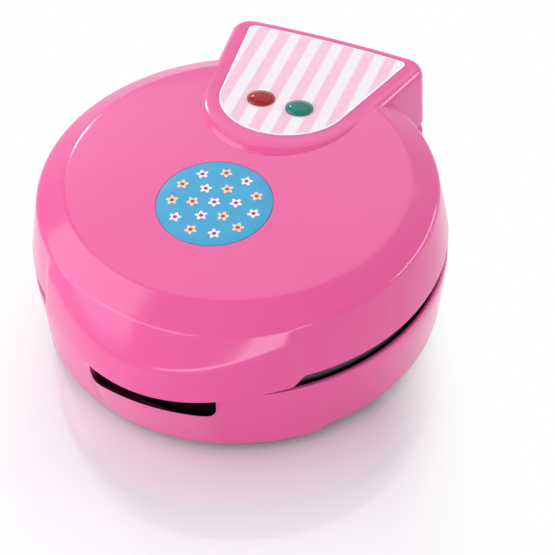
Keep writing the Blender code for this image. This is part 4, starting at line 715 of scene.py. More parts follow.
def panel_outline(side, front, rear):
    """Plan outline with its margins: front round, flared side, rear corner and bowed rear edge."""
    right = []
    for i in range(41):
        angle = -math.pi / 2 + (math.pi / 2 - PANEL_FLARE) * i / 40
        reach = PANEL_FRONT_RADIUS + side + (front - side) * max(0.0, -math.sin(angle)) ** 3
        right.append((reach * math.cos(angle), PANEL_FRONT_Y + reach * math.sin(angle)))
    radius = PANEL_CORNER + 0.6 * side
    y = PANEL_REAR_Y + rear - radius
    flared = (y - PANEL_FRONT_Y) * math.sin(PANEL_FLARE)
    x = (PANEL_FRONT_RADIUS + side - radius + flared) / math.cos(PANEL_FLARE)
    for i in range(15):
        angle = -PANEL_FLARE + (math.pi / 2 + PANEL_FLARE) * i / 14
        right.append((x + radius * math.cos(angle), y + radius * math.sin(angle)))
    for i in range(1, 26):
        rear_x = x * (1 - i / 25)
        right.append((rear_x, PANEL_REAR_Y + rear + rear_bow(rear_x)))
    return right + [(-x, y) for x, y in reversed(right[1:-1])]


def panel_height(y):
    return PANEL_Z - PANEL_TILT * (y - PANEL_FRONT_Y)


def panel_ring(below, side, front, rear, level=None):
    """The outline that far below the label's top, or flat at a level."""
    return [(CENTRE_X + x, CENTRE_Y + y, panel_height(y) - below if level is None else level)
            for x, y in panel_outline(side, front, rear)]


# %% Boss and its union with the lid
PROUD = 0.0003
BOSS_RIM = 0.0044
BOSS_EDGE = 0.0054
BOSS_SLOPE = 0.0098
BOSS_REAR_EDGE = 0.0018
BOSS_FLARE = 0.0018
BOSS_FOOT_Z = RIM_Z + 0.0054
BOSS_STEPS = 8
HINGE_Y = REAR_Y - 0.0050
HINGE_Z = SEAM_Z - 0.00015
KNUCKLE = 0.0050
POCKET_TOP = HINGE_Z + KNUCKLE + 0.0008
BOSS_HOLLOW_FOOT = POCKET_TOP + 0.0036


def boss_rings(wall, low):
    """Foot, side and the rounded rim, whose margins follow a quarter circle, all moved in by the wall."""
    foot = BOSS_FLARE - wall
    side, front = BOSS_RIM + BOSS_EDGE + foot, BOSS_RIM + BOSS_SLOPE + foot
    rings = [panel_ring(0, side, front, PANEL_REAR_RIM - wall, low)]
    for i in range(BOSS_STEPS + 1):
        turn = math.pi / 2 * i / BOSS_STEPS
        down, out = 1 - math.sin(turn), math.cos(turn)
        rear = PANEL_REAR_RIM - BOSS_REAR_EDGE * (1 - out)
        side, front = BOSS_RIM + BOSS_EDGE * out - wall, BOSS_RIM + BOSS_SLOPE * out - wall
        rings.append(panel_ring(PROUD + wall + BOSS_EDGE * down, side, front, rear - wall))
    return rings


cut(lid_shell, solid("boss", boss_rings(0, BOSS_FOOT_Z), caps=True), "UNION")
cut(lid_shell, body_of_rows("lid_hollow", lid_hollow))
cut(lid_shell, solid("boss_hollow", boss_rings(WALL, BOSS_HOLLOW_FOOT), caps=True))
print("lid with boss", len(lid_shell.data.vertices), "points")

# %% [markdown]
# ## Recesses in the lid
# The film lies in a shallow recess of the boss and the badge in a round one of the dome, each a hair wider
# than what it holds. A line of dark paint could stand for that groove, but a real one keeps its fine shadow
# from every side. The badge's recess has a dished floor, so its cutter is an upright cylinder less a body
# under the dome.

# %% Recess of the film and lens holes
LAMP_SPACING = 0.0218
LAMP_Y = PANEL_FRONT_Y - 0.0068
STEM_HOLE_RADIUS = 0.0049
STEM_HOLE_DEPTH = 0.008
FILM = 0.0006
lamp_tilt = Matrix.Rotation(-math.atan(PANEL_TILT), 4, "X")
LAMPS = {side: at(side * LAMP_SPACING / 2, LAMP_Y, panel_height(LAMP_Y)) @ lamp_tilt for side in (-1, 1)}


def stem_holes():
    rows = rod(STEM_HOLE_RADIUS, OVERRUN, -STEM_HOLE_DEPTH)
    return solid("stem_holes", *[turned(rows, 48, matrix) for matrix in LAMPS.values()])


recess = [panel_ring(below, GAP, GAP, GAP) for below in (FILM, -0.01)]
cut(lid_shell, solid("film_recess", recess, caps=True))
cut(lid_shell, stem_holes())

# %% Round recess of the badge
BADGE_THICKNESS = 0.0009
BADGE_PROUD = 0.0002


def under_dome(rise, floor=0.06):
    """A body that fills the dome up to its surface, which is raised by the rise."""
    radii = [DISC_RADIUS * (i / 24) for i in range(24)]
    rows = [(radius, dome_height(radius) + rise) for radius in radii]
    return solid("under_dome", turned(rows + [(rows[-1][0], floor), (0, floor)], 192, at(0, 0)))


badge_cut = solid("badge_cut", turned(rod(BADGE_RADIUS + GAP, 0.11, 0.07), 192, at(0, -BADGE_FORWARD)))
cut(badge_cut, under_dome(BADGE_PROUD - BADGE_THICKNESS - GAP))
cut(lid_shell, badge_cut)
print("lid with recesses", len(lid_shell.data.vertices), "points")

# %% [markdown]
# ## Hinge room, knuckle and posts
# Under the boss is the room where the hinge turns. The lid has one long knuckle in the middle, carried by a
# web, and its rear wall has a notch for either knuckle of the base. Four posts under the dome take the
# screws of the upper plate. All of it is plain blocks and cylinders, joined and cut one after another, as
# the mould maker mills them. A cylinder whose corners lie exactly on the spokes of the shell leaves slivers
# in a Boolean, so each set of cylinders is turned by a small angle off the spokes.

# %% Blocks and barrels
LID_HALF = 0.0300
BASE_KNUCKLE = 0.0135
BARREL_EDGE = 0.0004
BORE = 0.0023
WEB_INSET = 0.0007


def block(name, low, high):
    """A box between two corners that are counted from the body's axis."""
    bm = bmesh.new()
    low, high = at(*low).translation, at(*high).translation
    stretch = Matrix.Diagonal((*(high - low), 1))
    bmesh.ops.create_cube(bm, size=1, matrix=Matrix.Translation((low + high) / 2) @ stretch)
    return shape(name, bm)


def barrel(name, radius, low_x, high_x):
    """A round body along the hinge's axis."""
    turn = Matrix.Rotation(math.pi / 2, 4, "Y")
    rows = [(0, low_x), (radius - BARREL_EDGE, low_x), (radius, low_x + BARREL_EDGE),
            (radius, high_x - BARREL_EDGE), (radius - BARREL_EDGE, high_x), (0, high_x)]
    return solid(name, turned(rows, 64, at(0, HINGE_Y, HINGE_Z) @ turn))


# %% Hinge room, notches and knuckle of the lid
room = LID_HALF + BASE_KNUCKLE + 0.001
ROOM_FRONT_Y, ROOM_FOOT_Z = HINGE_Y - 0.0058, 0.02
NOTCH_FRONT_Y, NOTCH_FOOT_Z = HINGE_Y - 0.0050, 0.022
cut(lid_shell, block("hinge_room", (-room, ROOM_FRONT_Y, ROOM_FOOT_Z), (room, REAR_Y - WALL, POCKET_TOP)))
for low_x in (-room, LID_HALF + 0.0002):
    low = (low_x + 0.0002, NOTCH_FRONT_Y, NOTCH_FOOT_Z)
    high = (low_x + BASE_KNUCKLE + 0.0006, REAR_Y + OVERRUN, POCKET_TOP - GAP)
    cut(lid_shell, block("notch", low, high))
cut(lid_shell, barrel("lid_knuckle", KNUCKLE, -LID_HALF, LID_HALF), "UNION")
low = (-LID_HALF + WEB_INSET, HINGE_Y - 0.0023, HINGE_Z + 0.0004)
high = (LID_HALF - WEB_INSET, REAR_Y - WALL / 2, POCKET_TOP + 0.0012)
cut(lid_shell, block("lid_web", low, high), "UNION")
cut(lid_shell, barrel("lid_bore", BORE, -LID_HALF - OVERRUN, LID_HALF + OVERRUN))
print("lid with knuckle", len(lid_shell.data.vertices), "points")

# %% Posts inside the lid
POST_RING = 0.080
POST_RADIUS = 0.005
HOLE_RADIUS = 0.0018
OFF_SPOKE = Matrix.Rotation(0.011, 4, "Z")
REFLECTOR = 0.0006
UPPER_REFLECTOR_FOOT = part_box("upper_reflector")[1][2] - REFLECTOR


def cylinders(name, radius, low, high, places, segments=48):
    """Equal upright cylinders as one body, at places counted from the body's axis."""
    rows = rod(radius, low, high)
    return solid(name, *[turned(rows, segments, at(x, y) @ OFF_SPOKE) for x, y in places])


def ring_places(radius, *degrees):
    return [(radius * math.cos(a), radius * math.sin(a)) for a in map(math.radians, degrees)]


post_places = ring_places(POST_RING, 0, 180, 240, 300)
post_low, post_high = UPPER_REFLECTOR_FOOT + REFLECTOR + GAP, dome_height(POST_RING) - WALL / 2
cut(lid_shell, cylinders("lid_posts", POST_RADIUS, post_low, post_high, post_places), "UNION")
cut(lid_shell, cylinders("lid_pilots", HOLE_RADIUS, post_low - OVERRUN, post_high - 2 * WALL, post_places))
settle(lid_shell, pink, "lid", "lid_housing")

# %% [markdown]
# ## The base
# The base is a low bowl with a soft edge at the table. At the front a chin stands out to meet the grip lip,
# and a finger slot is cut into it, so that a finger can get under the lid. It follows the lid's example: a
# profile that a rule bends with the angle, the hollow as a second such body, and cutters for the rest.

# %% Rule of the base
CHIN_REACH = 0.0078
CHIN_DROP = 0.0056
CHIN_FLAT, CHIN_FADE = math.radians(12.5), math.radians(10.5)
CHIN_RIM_SHARE = 0.55
FOOT_BEND, CHIN_BEND, RIM_BEND = (0.0036, 6), (0.0018, 5), (0.0013, 5)
SOLE_RADIUS = 0.098
BULGE = 0.0020
BULGE_ANGLE = math.radians(44)
FLOOR_Z = FOOT_Z + 0.0023 + GAP
LEDGE_TOP_Z = FLOOR_Z + 0.0024


def base_corners(angle):
    """Foot, chin and rim radii of the outside at the angle."""
    chin = CHIN_REACH * fade(angle, CHIN_FLAT, CHIN_FADE)
    foot = FOOT_RADIUS + BULGE * fade(angle, BULGE_ANGLE, LIP_FADE)
    return foot, RIM_RADIUS + chin, RIM_RADIUS + chin * CHIN_RIM_SHARE


def base_outside(angle):
    """Rows of the outside, from the foot over the chin to the rim, with the inside filled."""
    foot, chin, rim = base_corners(angle)
    return profile([
        (0, FOOT_Z),
        (SOLE_RADIUS, FOOT_Z),
        (foot, FOOT_Z, *FOOT_BEND),
        (chin, RIM_Z - CHIN_DROP, *CHIN_BEND),
        (rim, RIM_Z, *RIM_BEND),
        (rim - WALL * 1.5, RIM_Z),
        (0, RIM_Z),
    ])


def base_hollow(angle):
    """Rows of the hollow, one wall in from the outside, flared a little at the rim."""
    foot, chin, rim = base_corners(angle)
    inside, flare = rim - WALL, 0.0005
    return [
        (0, LEDGE_TOP_Z),
        (foot - WALL, LEDGE_TOP_Z),
        (chin - WALL, RIM_Z - CHIN_DROP),
        (inside, RIM_Z - 0.002),
        (inside, RIM_Z - flare),
        (inside + flare, RIM_Z),
        (inside + flare, RIM_Z + OVERRUN),
        (0, RIM_Z + OVERRUN),
    ]


base_shell = body_of_rows("base_shell", base_outside)
print("base", len(base_shell.data.vertices), "points")

# %% [markdown]
# ## Rear block and finger slot
# The block at the back follows the same outline as the boss above it, so the two halves line up when the
# lid is shut. It is hollow too, and the cord comes in through its rear wall. The finger slot is cut by a
# body that is swept along the chin, with round lower corners. Its floor falls away inwards, which keeps it
# dark from above.

# %% Rear block
BLOCK_TOP_Z = RIM_Z - 0.0020
BLOCK_SIDE = BOSS_RIM + BOSS_EDGE + BOSS_FLARE
BLOCK_FOOT_EDGE = 0.0036
BLOCK_TOP_EDGE = 0.0012


def block_rings(wall, low, high):
    """Rings of the block, with a soft foot and top edge on the outside."""
    side, rear = BLOCK_SIDE - wall, PANEL_REAR_RIM - wall
    if wall:
        return [panel_ring(0, side, side, rear, level) for level in (low, high)]
    rings = []
    for edge, height, way in ((BLOCK_FOOT_EDGE, low, 1), (BLOCK_TOP_EDGE, high, -1)):
        steps = [math.pi / 2 * i / 5 for i in range(6)][::way]
        rings += [panel_ring(0, side - edge * (1 - math.sin(a)), side, rear - edge * (1 - math.sin(a)),
                             height + way * edge * (1 - math.cos(a))) for a in steps]
    return rings


cut(base_shell, solid("block", block_rings(0, FOOT_Z, BLOCK_TOP_Z), caps=True), "UNION")
cut(base_shell, body_of_rows("base_hollow", base_hollow))
cut(base_shell, solid("block_hollow", block_rings(WALL, LEDGE_TOP_Z, BLOCK_TOP_Z - WALL), caps=True))
print("base with block", len(base_shell.data.vertices), "points")

# %% Finger slot
SLOT_HALF = math.radians(18)
SLOT_DEPTH = 0.0066
SLOT_CORNER = 0.0054
SLOT_FALL = 1.1
SLOT_INNER = 0.1004


def slot_cutter():
    """The finger slot as a sector through the chin."""
    reach = RIM_RADIUS + CHIN_REACH
    arc = [math.pi / 2 * i / 10 for i in range(11)]
    corner = SLOT_CORNER / reach
    right = [(SLOT_HALF - corner * (1 - math.cos(a)), SLOT_CORNER * (1 - math.sin(a))) for a in arc]
    right += [(right[-1][0] * (1 - i / 12), 0) for i in range(1, 12)]
    rings = []
    top, outer = RIM_Z + OVERRUN, reach + OVERRUN
    for angle, rise in right + [(0, 0)] + [(-angle, rise) for angle, rise in reversed(right)]:
        floor = RIM_Z - SLOT_DEPTH + rise
        section = [(outer, top), (SLOT_INNER, top), (SLOT_INNER, floor - (reach - SLOT_INNER) * SLOT_FALL),
                   (outer, floor + OVERRUN * SLOT_FALL)]
        rings.append([round_place(angle, *point) for point in section])
    return solid("slot", rings, caps=True)


cut(base_shell, slot_cutter())
print("base with slot", len(base_shell.data.vertices), "points")

# %% Ledge, bosses, knuckles and the hole of the cord bushing
COVER_RADIUS = 0.1016
LEDGE_RADIUS = 0.0940
COVER_BOSS_RADIUS = 0.0040
GLAND_X, GLAND_Z = -0.030, LEDGE_TOP_Z + 0.0130
GLAND_HOLE_RADIUS = 0.0058
MOUTH_RISE, COVER_BOSS_RISE, COVER_PILOT_RISE = 0.003, 0.006, 0.0045
cover_places = ring_places((COVER_RADIUS + LEDGE_RADIUS) / 2, 20, 160, 200, 340)
cut(base_shell, cylinders("cover_seat", COVER_RADIUS + GAP, 0, FLOOR_Z, [(0, 0)], 192))
cut(base_shell, cylinders("cover_mouth", LEDGE_RADIUS, 0, LEDGE_TOP_Z + MOUTH_RISE, [(0, 0)], 192))
low, high = FLOOR_Z + GAP, LEDGE_TOP_Z + COVER_BOSS_RISE
cut(base_shell, cylinders("bosses", COVER_BOSS_RADIUS, low, high, cover_places), "UNION")
cut(base_shell, cylinders("pilots", HOLE_RADIUS, 0, LEDGE_TOP_Z + COVER_PILOT_RISE, cover_places))
near, far = LID_HALF + 0.0005, LID_HALF + 0.0005 + BASE_KNUCKLE
for low_x, high_x in ((near, far), (-far, -near)):
    cut(base_shell, barrel("base_knuckle", KNUCKLE, low_x, high_x), "UNION")
    low = (low_x + WEB_INSET, HINGE_Y - KNUCKLE + 0.0005, BLOCK_TOP_Z - WALL + GAP)
    high = (high_x - WEB_INSET, HINGE_Y + 0.0042, HINGE_Z - 0.0004)
    cut(base_shell, block("base_web", low, high), "UNION")
cut(base_shell, barrel("base_bore", BORE, -far - OVERRUN, far + OVERRUN))
gland_turn = at(GLAND_X, REAR_Y, GLAND_Z) @ Matrix.Rotation(math.pi / 2, 4, "X")
cut(base_shell, solid("gland_hole", turned(rod(GLAND_HOLE_RADIUS, -0.005, 0.005), 48, gland_turn)))
settle(base_shell, pink, "base", "base_housing")

# %% [markdown]
# ## Film
# The film is a thin flat sheet, so its body is a few rings of the panel's outline, and the lens stems pass
# through two holes. Its printed border follows the outline. A formula of the place can't follow a curve
# like that, so each point of the film carries a number that says whether it lies in the border, and the
# finish reads that number.

# %% Film with its border
BORDER = 0.0012
FILM_INSET = 0.0003
FILM_EDGE = 0.0001
BORDER_FADE = 0.0002
film_rows = ((FILM, FILM_INSET), (FILM_EDGE, FILM_INSET), (0, FILM_INSET + FILM_EDGE),
             (0, BORDER), (0, BORDER + BORDER_FADE))
rings = [panel_ring(below, -inset, -inset, -inset) for below, inset in film_rows]
film_sheet = solid("film_sheet", rings, caps=True)
cut(film_sheet, stem_holes())
outline = [Vector((CENTRE_X + x, CENTRE_Y + y)) for x, y in panel_outline(0, 0, 0)]
outline_edges = list(zip(outline, outline[1:] + outline[:1]))


def off_edge(point):
    """Plan distance of a point from the panel's outline."""
    plan = Vector(point[:2])
    distances = []
    for start, end in outline_edges:
        share = min(1.0, max(0.0, (plan - start).dot(end - start) / (end - start).length_squared))
        distances.append((plan - start - (end - start) * share).length)
    return min(distances)


mark = film_sheet.data.attributes.new("border", "FLOAT", "POINT")
for vertex in film_sheet.data.vertices:
    mark.data[vertex.index].value = 1.0 if off_edge(vertex.co) < BORDER + FILM_EDGE else 0.0
settle(film_sheet, film, "lid", "panel_label")

# %% [markdown]
# ## Badge and lenses
# The badge is stamped from sheet and dished like the dome that carries it. A turned form would be round
# about the badge's own middle, but the dome is round about the body's axis, so each point of the badge
# takes its height from the dome. The lenses are turned: the head is a cap of a ball, and a hollow stem goes
# through the boss.

# %% Badge
badge_rows = ((0, 0), (0.35, 0), (0.7, 0), (0.985, 0), (0.995, 0.00008), (1.0, 0.0002),
              (1.0, BADGE_THICKNESS), (0.5, BADGE_THICKNESS), (0, BADGE_THICKNESS))
rings = []
for share, depth in badge_rows:
    spokes = [TURN * i / 96 for i in range(96 if share else 1)]
    reach = BADGE_RADIUS * share
    plan = [(reach * math.cos(a), reach * math.sin(a) - BADGE_FORWARD) for a in spokes]
    rise = BADGE_PROUD - depth
    rings.append([(CENTRE_X + x, CENTRE_Y + y, dome_height(math.hypot(x, y)) + rise) for x, y in plan])
settle(solid("badge", rings), badge_print, "lid", "round_badge")

# %% Lenses
LENS_RADIUS, LENS_RISE = 0.0073, 0.0028
STEM_RADIUS, STEM_BORE = 0.0046, 0.0030
STEM_END = GAP - 0.012
LENS_BALL = (LENS_RADIUS**2 + LENS_RISE**2) / (2 * LENS_RISE)
LENS_ANGLE = math.asin(LENS_RADIUS / LENS_BALL)
turns = [LENS_ANGLE * i / 16 for i in range(16)]
lens_rows = [(LENS_BALL * math.sin(a), GAP + LENS_RISE - LENS_BALL * (1 - math.cos(a))) for a in turns]
lens_rows += [(LENS_RADIUS, 2 * GAP), (LENS_RADIUS, GAP), (STEM_RADIUS, GAP), (STEM_RADIUS, STEM_END),
              (STEM_BORE, STEM_END), (STEM_BORE, GAP - 0.2 * LENS_RISE), (0, GAP)]
for side, tint, node in ((-1, red, "power_lens"), (1, green, "ready_lens")):
    settle(solid(node + "_smooth", turned(lens_rows, 64, LAMPS[side])), tint, "lid", node)

# %% [markdown]
# ## Baking plates
# Each plate is pressed from sheet and coated. The lower one has seven cups: one in the middle and six round
# it. Seven cups could be cut by a Python loop, but where the same form comes again at equal steps round a
# ring, Geometry Nodes say it best: one tree takes a form, copies it to the middle and round the ring, and
# cuts the copies out of the plate or joins them to it. The tree's inputs have names, so its numbers stay
# readable.


# %% Geometry Nodes from Python
class Tree:
    """A Geometry Nodes tree with named inputs, whose nodes come as their output sockets."""

    def __init__(self, name, inputs):
        self.group = bpy.data.node_groups.new(name, "GeometryNodeTree")
        self.group.interface.new_socket("Geometry", in_out="OUTPUT", socket_type="NodeSocketGeometry")
        for label, kind in inputs.items():
            self.group.interface.new_socket(label, in_out="INPUT", socket_type="NodeSocket" + kind)
        self.inputs = self.group.nodes.new("NodeGroupInput").outputs
        self.end = self.group.nodes.new("NodeGroupOutput").inputs[0]

    def node(self, kind, settings=None, inputs=None, output=0):
        full = kind if kind.startswith("Shader") else "GeometryNode" + kind
        return add_node(self.group, full, settings, inputs).outputs[output]

    def boolean(self, operation, *bodies):
        """Bodies joined by UNION, or with DIFFERENCE the first one without the second."""
        inputs = {"Mesh 2": list(bodies)}
        if operation == "DIFFERENCE":
            inputs = {"Mesh 1": bodies[0], "Mesh 2": bodies[1]}
        return self.node("MeshBoolean", {"operation": operation, "solver": "EXACT"}, inputs)

    def finish(self, geometry, coat):
        """Makes instances real, gives them the finish and ends the tree."""
        real = self.node("RealizeInstances", None, {"Geometry": geometry})
        coated = self.node("SetMaterial", None, {"Geometry": real, "Material": coat.material})
        self.group.links.new(coated, self.end)


def grow(thing, tree, values):
    """Runs a tree on an object with the values of its named inputs, and keeps the plain mesh it makes."""
    modifier = thing.modifiers.new("grow", "NODES")
    modifier.node_group = tree.group
    for item in tree.group.interface.items_tree:
        if item.in_out == "INPUT" and item.name in values:
            modifier[item.identifier] = values[item.name]
    bake(thing, modifier)


# %% Tree that repeats a form round a ring
def ring_tree(name, coat, operation=None, with_middle=False):
    """Copies of a form round a ring (and one in the middle), alone, joined to a body or cut out of it."""
    tree = Tree(name, {"Geometry": "Geometry", "Form": "Object", "Count": "Int", "Ring radius": "Float",
                       "Middle": "Vector", "First turn": "Float"})
    inputs = tree.inputs
    places = [tree.node("MeshCircle", None, {"Vertices": inputs["Count"], "Radius": inputs["Ring radius"]})]
    if with_middle:
        places.append(tree.node("MeshLine", None, {"Count": 1}))
    joined = tree.node("JoinGeometry", None, {"Geometry": places})
    spin = tree.node("ShaderNodeCombineXYZ", None, {"Z": inputs["First turn"]})
    moved = tree.node("Transform", None, {
        "Geometry": joined, "Translation": inputs["Middle"], "Rotation": spin})
    form = tree.node("ObjectInfo", None, {"Object": inputs["Form"]}, output="Geometry")
    copies = tree.node("InstanceOnPoints", None, {"Points": moved, "Instance": form})
    real = tree.node("RealizeInstances", None, {"Geometry": copies})
    tree.finish(tree.boolean(operation, inputs["Geometry"], real) if operation else real, coat)
    return tree


# %% Sizes of the plates and their cups
CUP_COUNT, CUP_RING = 6, 0.062
CUP_RADIUS, CUP_FLOOR_RADIUS, CUP_DEPTH = 0.025, 0.018, 0.024
CUP_WALL, CUP_EDGE = 0.0025, 0.0015
PLATE, SKIRT_WALL = 0.0030, 0.0020
FLANGE_RADIUS, SKIRT_OUT = 0.10465, 0.10225
FACE_BEND, TIGHT_BEND, SKIRT_BEND, INNER_BEND = (0.0010, 4), (0.0004, 2), (0.0005, 3), (0.0006, 3)
LOWER_SKIRT, UPPER_SKIRT = 0.0205, 0.0088
LOWER_FACE = SEAM_Z - GAP
LOWER_REFLECTOR_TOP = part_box("lower_reflector")[0][2] + REFLECTOR
PILOT_FOOT_Z, PILOT_RISE = 0.014, 0.0172
print("lower plate's face", round(LOWER_FACE, 5), "its reflector's top", round(LOWER_REFLECTOR_TOP, 5))


def plate_rows(face, way, skirt):
    """Section of a plate: face, flange and a skirt on the far side, which is down for a way of -1."""
    back = face + way * PLATE
    end = back + way * skirt
    inside = SKIRT_OUT - SKIRT_WALL
    return profile([
        (0, face), (FLANGE_RADIUS, face, *FACE_BEND), (FLANGE_RADIUS, back, *TIGHT_BEND),
        (SKIRT_OUT, back, *TIGHT_BEND), (SKIRT_OUT, end, *SKIRT_BEND), (inside, end, *SKIRT_BEND),
        (inside, back, *INNER_BEND), (0, back)])


def form(name, rows, segments=72):
    """A turned form about the world's own axis, for a tree to copy."""
    return solid(name, turned(rows, segments, Matrix.Identity(4)))


def plate_with(name, rows, outside, hollow):
    """A plate with the outside of each cup joined to it and each hollow cut out, both by the trees."""
    plate = solid(name, turned(rows, 144, at(0, 0) @ OFF_SPOKE))
    for operation, body in (("UNION", outside), ("DIFFERENCE", hollow)):
        grow(plate, ring_tree("cups_" + operation.lower(), coating, operation, with_middle=True), {
            "Form": body, "Count": CUP_COUNT, "Ring radius": CUP_RING, "Middle": (CENTRE_X, CENTRE_Y, 0.0),
            "First turn": math.pi / 2})
        bpy.data.objects.remove(body)
    return plate


# %% Lower plate with seven cups
lower_back = LOWER_FACE - PLATE
cup_foot = LOWER_FACE - CUP_DEPTH - CUP_WALL
mouth = CUP_RADIUS + 2 * CUP_EDGE
outside = form("cup_outside", profile([
    (0, lower_back + CUP_EDGE), (CUP_RADIUS + CUP_WALL, lower_back + CUP_EDGE),
    (CUP_RADIUS + CUP_WALL, lower_back - CUP_EDGE), (CUP_FLOOR_RADIUS + CUP_WALL, cup_foot, 0.0025, 4),
    (0, cup_foot)]))
hollow = form("cup_hollow", profile([
    (0, LOWER_FACE + OVERRUN), (mouth, LOWER_FACE + OVERRUN), (mouth, LOWER_FACE + 0.0001),
    (CUP_RADIUS, LOWER_FACE, 0.0020, 6), (CUP_FLOOR_RADIUS, LOWER_FACE - CUP_DEPTH, 0.0030, 8),
    (0, LOWER_FACE - CUP_DEPTH)]))
lower_plate = plate_with("lower_plate", plate_rows(LOWER_FACE, -1, LOWER_SKIRT), outside, hollow)
low, high = LOWER_REFLECTOR_TOP + GAP, lower_back + GAP
cut(lower_plate, cylinders("lower_bosses", POST_RADIUS, low, high, post_places), "UNION")
high = LOWER_REFLECTOR_TOP + PILOT_RISE
cut(lower_plate, cylinders("lower_pilots", HOLE_RADIUS, PILOT_FOOT_Z, high, post_places))
settle(lower_plate, coating, "base", "lower_baking_plate")

# %% [markdown]
# The upper plate has seven shallow domes, which shape the tops of the cakes. They are caps of a ball, so
# their rows come from the ball's own formula instead of from corners. The same tree places them.

# %% Upper plate with seven shallow domes
DOME_CUP_RISE = 0.011
SEAT_RADIUS, SEAT_DEPTH = 0.0034, 0.0028
ball = (CUP_RADIUS**2 + DOME_CUP_RISE**2) / (2 * DOME_CUP_RISE)


def cap_rows(wall, low):
    """A cap of the ball from its top down to the low height."""
    middle = SEAM_Z + DOME_CUP_RISE - ball
    edge = math.acos((max(low, SEAM_Z) - middle) / (ball + wall))
    turns = [edge * i / 12 for i in range(13)]
    rows = [((ball + wall) * math.sin(a), middle + (ball + wall) * math.cos(a)) for a in turns]
    return rows + ([(rows[-1][0] + 0.0004, low)] if wall == 0 else []) + [(0, low)]


upper_back = SEAM_Z + PLATE
outside = form("dome_outside", cap_rows(CUP_WALL, upper_back - CUP_EDGE))
hollow = form("dome_hollow", cap_rows(0, SEAM_Z - OVERRUN))
upper_plate = plate_with("upper_plate", plate_rows(SEAM_Z, 1, UPPER_SKIRT), outside, hollow)
low, high = upper_back - GAP, UPPER_REFLECTOR_FOOT - GAP
cut(upper_plate, cylinders("upper_bosses", POST_RADIUS, low, high, post_places), "UNION")
low, high = SEAM_Z - OVERRUN, UPPER_REFLECTOR_FOOT + OVERRUN
cut(upper_plate, cylinders("upper_holes", HOLE_RADIUS, low, high, post_places))
cut(upper_plate, cylinders("upper_seats", SEAT_RADIUS, low, SEAM_Z + SEAT_DEPTH, post_places))
settle(upper_plate, coating, "lid", "upper_baking_plate")

# %% [markdown]
# ## Screws
# All screws are one form: a pan head with a cross recess on a plain shank. A copied mesh would do for one
# length, but there are two, so a tree builds the screw from its sizes and puts a copy on each point that it
# is given. A handful of points then makes the whole set.

# %% Tree of a set of screws
HEAD_RADIUS, HEAD_FACE_RADIUS, HEAD_HEIGHT = 0.0031, 0.0025, 0.0022
SHANK_RADIUS, RECESS_WIDTH, RECESS_SPAN = 0.0015, 0.0007, 0.0034


def screw_tree(coat):
    """A pan head, a cross cut into it and a shank that points up, copied to each point of the input."""
    tree = Tree("screws", {"Geometry": "Geometry", "Head radius": "Float", "Head height": "Float",
                           "Shank radius": "Float", "Shank length": "Float", "Recess width": "Float"})
    inputs = tree.inputs
    head = tree.node("MeshCone", None, {"Vertices": 40, "Radius Top": inputs["Head radius"],
                                        "Radius Bottom": HEAD_FACE_RADIUS, "Depth": inputs["Head height"]})
    shank = tree.node("MeshCylinder", None, {"Vertices": 28, "Radius": inputs["Shank radius"],
                                             "Depth": inputs["Shank length"]})
    half = tree.node("ShaderNodeMath", {"operation": "MULTIPLY"}, {0: inputs["Shank length"], 1: 0.5})
    lift = tree.node("ShaderNodeMath", {"operation": "ADD"}, {0: half, 1: inputs["Head height"]})
    up = tree.node("ShaderNodeCombineXYZ", None, {"Z": lift})
    raised = tree.node("Transform", None, {"Geometry": shank, "Translation": up})
    bars = []
    for width_axis, span_axis in ("XY", "YX"):
        size = tree.node("ShaderNodeCombineXYZ", None, {
            width_axis: inputs["Recess width"], span_axis: RECESS_SPAN, "Z": HEAD_HEIGHT})
        bars.append(tree.node("MeshCube", None, {"Size": size}))
    made = tree.boolean("DIFFERENCE", tree.boolean("UNION", head, raised), tree.boolean("UNION", *bars))
    tree.finish(tree.node("InstanceOnPoints", None, {"Points": inputs["Geometry"], "Instance": made}), coat)
    return tree


# %% Sets of screws
LONG_SHANK, SHORT_SHANK = 0.021, 0.0085
PLATE_HEAD_DROP, COVER_HEAD_DROP = 0.0068, 0.0025


def screws(name, sets, body, *nodes):
    """Screws as one piece. Each set gives the height of its heads, its shank length and its places."""
    rule = screw_tree(steel)
    whole = bmesh.new()
    for low, length, places in sets:
        points = bmesh.new()
        for x, y in places:
            points.verts.new(at(x, y, low).translation)
        holder = to_object("points", points)
        grow(holder, rule, {
            "Head radius": HEAD_RADIUS, "Head height": HEAD_HEIGHT, "Shank radius": SHANK_RADIUS,
            "Shank length": length, "Recess width": RECESS_WIDTH})
        whole.from_mesh(holder.data)
        bpy.data.objects.remove(holder)
    settle(shape(name, whole), steel, body, *nodes)


plate_set = (LOWER_REFLECTOR_TOP - PLATE_HEAD_DROP, LONG_SHANK, post_places)
cover_set = (FOOT_Z - COVER_HEAD_DROP, SHORT_SHANK, cover_places)
base_nodes = [f"{kind}_screw_{n}" for kind in ("lower_plate", "cover") for n in range(1, 5)]
screws("base_screws", (plate_set, cover_set), "base", *base_nodes)
lid_set = (SEAM_Z + GAP, LONG_SHANK, post_places)
screws("lid_screws", (lid_set,), "lid", *[f"upper_plate_screw_{n}" for n in range(1, 5)])

# %% [markdown]
# ## Feet and cord bushing
# The four rubber feet stand at equal steps on one ring, so the tree of the cups places them too. A foot is
# a pad with a shallow cup in its sole and a barbed stud that snaps through the bottom cover. The cord
# bushing is a turned collar, laid on its side in the rear wall. Both are profiles with bent corners, as the
# shells are.

